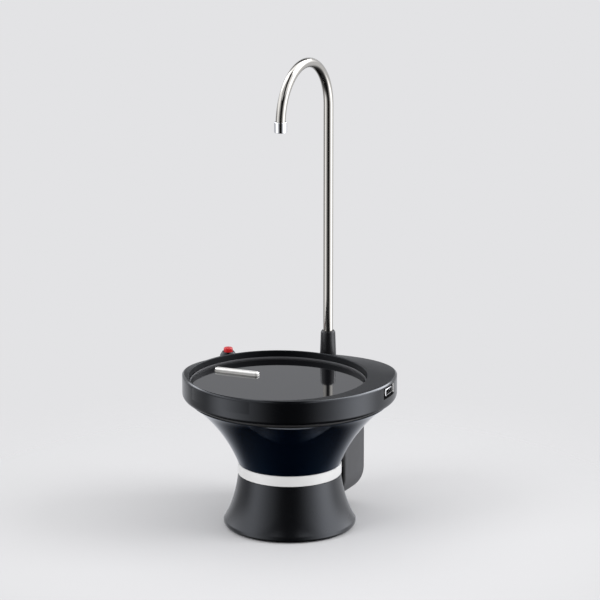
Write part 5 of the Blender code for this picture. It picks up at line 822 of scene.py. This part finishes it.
# %% Rear screws
SCREW_HEAD_FOOT = 76.85
for name, tip, spots, nodes in (
        ("rear_screws_upper", 52, SCREW_SPOTS[:2], ["housing_screw_1", "housing_screw_2"]),
        ("rear_screw_lower", 44.2, SCREW_SPOTS[2:], ["housing_screw_3"])):
    section = [(0.0, tip), (1.0, tip + 0.6), (1.3, tip + 1.5), (1.3, SCREW_HEAD_FOOT), (2.3, SCREW_HEAD_FOOT)]
    section += [(2.4, SCREW_HEAD_FOOT + 0.1)] + flare((2.4, 77.3), (2.1, 78.05), (0.0, 78.1), 10)
    cross = [placed("screw_cross", prism("screw_cross", box_outline(-1.35, 1.35, 0.33), 77.4, 79, (0, 0), turn))
             for turn in (0.0, math.pi / 2)]
    screw = subtract(name, ring_mesh(name, section, PLATED_STEEL, 40), *cross)
    screws = ROW.grow(name, screw, {"Count": len(spots), "First": Vector((*spots[0], 0)) * MM,
                                    "Step": Vector((42, 0, 0)) * MM, "Finish": PLATED_STEEL})
    screws.transform(LAID_BACK)
    put(name, screws, "pump_body", nodes)

# %% [markdown]
# ## The carried-over pieces
# Everything inside the shells keeps its CAD solid, whose shape is already right. Each one gets a finish of its own
# kind. Boxes and turned parts need no more, because they are only seen through the window or from below.

# %% Finishes for the carried-over pieces
CARRIED = {
    PLATED_STEEL: ["motor_can", "motor_clamp", "button_spring", "bar_spring_1", "bar_spring_2"],
    INNER_BLACK_AND_GROOVE_SHADE: ["motor_end_cap", "intake_nut", "battery_holder", "power_switch", "bar_yoke", "switch_bracket",
                  "cup_switch"],
    PUMP_NATURAL: ["pump_frame", "pump_crank", "wobble_plate", "valve_plate", "pump_head", "spout_socket",
                   "intake_fitting"],
    RUBBER_BLACK: ["pump_diaphragm", "spout_oring"],
    HOSE_MILKY: ["outlet_hose", "intake_hose"],
    ROTOR_COPPER: ["motor_armature"],
    CELL_FILM: ["battery_cell"],
    BOARD_GREEN: ["circuit_board"],
    LEAD_RED: ["motor_lead", "battery_lead"],
    LEAD_BLACK: ["cup_switch_lead", "button_lead"],
}
CARRIED[PLATED_STEEL] += [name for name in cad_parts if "_screw" in name and "housing" not in name]
for finish, names in CARRIED.items():
    for name in names:
        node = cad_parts[name]
        node.data.materials.clear()
        node.data.materials.append(finish)
print("carried-over pieces:", sum(len(names) for names in CARRIED.values()))

# %% [markdown]
# ## Floor and backdrop
# The picture has a pale seamless ground. Here a small disc catches the pump's shadow and fades out into a pale
# world, so there is no horizon. Mirror rays pass through the disc, or it would lie in the gloss as a grey plate.

# %% Floor
FLOOR_RADIUS, FLOOR_SIDES = 0.6, 64
floor_mesh = bpy.data.meshes.new("studio_floor")
turns = [math.tau * step / FLOOR_SIDES for step in range(FLOOR_SIDES)]
floor_mesh.from_pydata([(FLOOR_RADIUS * math.cos(turn), FLOOR_RADIUS * math.sin(turn), 0) for turn in turns], [],
                       [list(range(FLOOR_SIDES))])
floor = placed("studio_floor", floor_mesh)
floor.location.z = -0.3 * MM
ground, ground_graph, ground_sockets, ground_place = start_finish("studio_ground")
away = ground_graph.signal("ShaderNodeVectorMath", {"operation": "LENGTH"}, {0: ground_place}, "Value")
mirrored = Signal(ground_graph, ground_graph.add("ShaderNodeLightPath").outputs["Is Glossy Ray"])
ground_graph.feed((1 - away.fade(0.10, 0.42)) * (1 - mirrored), ground_sockets["Alpha"])
ground_sockets["Base Color"].default_value = (0.735, 0.735, 0.75, 1)
ground_sockets["Roughness"].default_value = 0.9
ground_sockets["Specular IOR Level"].default_value = 0.0
floor_mesh.materials.append(ground)
print("floor disc in m:", 2 * FLOOR_RADIUS)

# %% [markdown]
# The world plays three parts, which the Light Path node tells apart. Camera and see-through rays get the pale
# backdrop. Diffuse rays get an even dome. Glossy rays get a studio that is drawn on the ray's direction with smooth
# steps. It has a wide bright panel to each side and a dark gap in front, where the camera stands. Behind the pump
# there is a plain pale wall. The ceiling is dark, apart from a crown of soft boxes and a panel high at the back,
# and so is the ground. Black gloss shows nothing but what it mirrors, so this plan gives the head its bright
# shoulders and its black middle, and the steel tube its dark line. Lamps alone would leave small hard glints.

# %% World and the ray's direction
world = bpy.data.worlds.new("soft_studio")
bpy.context.scene.world = world
world.use_nodes = True
sky = Graph(world.node_tree)
toward = sky.add("ShaderNodeSeparateXYZ", {}, {0: sky.add("ShaderNodeTexCoord").outputs["Generated"]}).outputs
side, depth, height = (Signal(sky, toward[axis]) for axis in range(3))
level_run = (side * side + depth * depth).run("SQRT").run("MAXIMUM", 0.01)
front, right = depth * -1 / level_run, side / level_run

# %% [markdown]
# The side panels stop short of the camera. Towards the back they dim, most of all at and below eye level, since the
# skirt and the underside of the funnel mirror that part. The one on the right is a little brighter.

# %% Side panels, wall, ground and ceiling
PANEL_LIGHT, WALL_LIGHT = 2.25, 0.76
panels = 0.005 + 0.3 * front.fade(1.0, 0.8) + (PANEL_LIGHT + 0.6 * right) * front.fade(1.0, 0.2)
dip = (0.73 - 0.05 * right) * (front + 0.08 * right - 0.08).fade(0.15, -0.40)
panels = panels * (1 - dip * (1 - 0.9 * height.fade(-0.05, 0.30)))
behind, below = front.fade(-0.62, -0.85), height.fade(-0.42, -0.80)
overhead = (height - 0.4 * side * side).fade(0.28, 0.50)
room_light = (panels * (1 - behind) + WALL_LIGHT * behind) * (1 - below) * (1 - overhead)

# %% [markdown]
# The soft boxes are small and strong, so they show as thin bright lines on rounded edges. The crown lies overhead,
# its wings hang at the rear left and right, and one more panel hangs high above the back, for the crescent.

# %% Soft boxes
BOX_LIGHT, BACK_LIGHT = 10, 2.0
crown = 0.12 + 0.30 * front.fade(0.15, -0.15) * front.fade(-0.65, -0.40)
crown = crown * side.run("ABSOLUTE").fade(0.15, 0.35) * height.fade(0.55, 0.65)
wings = (right * right).fade(0.25, 0.45) * front.fade(-0.38, -0.55)
wings = wings * height.fade(0.27, 0.40) * height.fade(0.80, 0.70)
above = height.fade(0.66, 0.80) * depth.fade(0.12, 0.30)
box_light = (BOX_LIGHT + 4 * right) * (crown + 0.58 * wings)
lit = room_light + BACK_LIGHT * above + box_light + 0.3 * below * side * side

# %% What each ray gets
PALE, DOME_CAST, MIRROR_CAST = (0.768, 0.768, 0.783, 1), (1, 1, 1, 1), (0.95, 0.965, 1.01, 1)
DOME_LIGHT = 0.78
ray = sky.add("ShaderNodeLightPath").outputs
glossy = Signal(sky, ray["Is Glossy Ray"])
seen = Signal(sky, ray["Is Camera Ray"]).run("MAXIMUM", Signal(sky, ray["Is Transmission Ray"]))
cast = sky.add("ShaderNodeMix", {"data_type": "RGBA"}, {0: glossy, 6: DOME_CAST, 7: MIRROR_CAST})
shade = sky.add("ShaderNodeMix", {"data_type": "RGBA"}, {0: seen, 6: cast.outputs[2], 7: PALE})
backdrop = world.node_tree.nodes["Background"].inputs
sky.feed(seen + (1 - seen) * ((1 - glossy) * DOME_LIGHT + glossy * lit), backdrop["Strength"])
sky.feed(shade.outputs[2], backdrop["Color"])
print("nodes in the world:", len(world.node_tree.nodes))

# %% [markdown]
# Two large lamps to the left and right give the soft shadow and model the matte pieces. They are hidden from glossy
# rays, since the world already draws the panels that the gloss shows.

# %% Lamps
LAMP_REACH, LAMP_HEIGHT = 2.3, 1.5
for name, azimuth, elevation, width, radiance in (("box_left", -148, 34, 1.0, 3.4), ("box_right", -8, 32, 1.2, 4.4)):
    turn, rise = math.radians(azimuth), math.radians(elevation)
    lamp_data = bpy.data.lights.new(name, "AREA")
    lamp_data.shape = "RECTANGLE"
    lamp_data.size = width
    lamp_data.size_y = LAMP_HEIGHT
    lamp_data.energy = radiance * math.pi * width * LAMP_HEIGHT
    lamp = placed(name, lamp_data)
    way = Vector((math.cos(turn) * math.cos(rise), math.sin(turn) * math.cos(rise), math.sin(rise)))
    lamp.location = way * LAMP_REACH
    lamp.rotation_euler = lamp.location.to_track_quat("Z", "Y").to_euler()
    lamp.visible_glossy = False
    print(name, "at", [round(part, 2) for part in lamp.location])

# %% [markdown]
# The Standard view transform leaves the pale ground as pale as it was set. A filmic one would grey it.

# %% View settings
bpy.context.scene.view_settings.view_transform = "Standard"
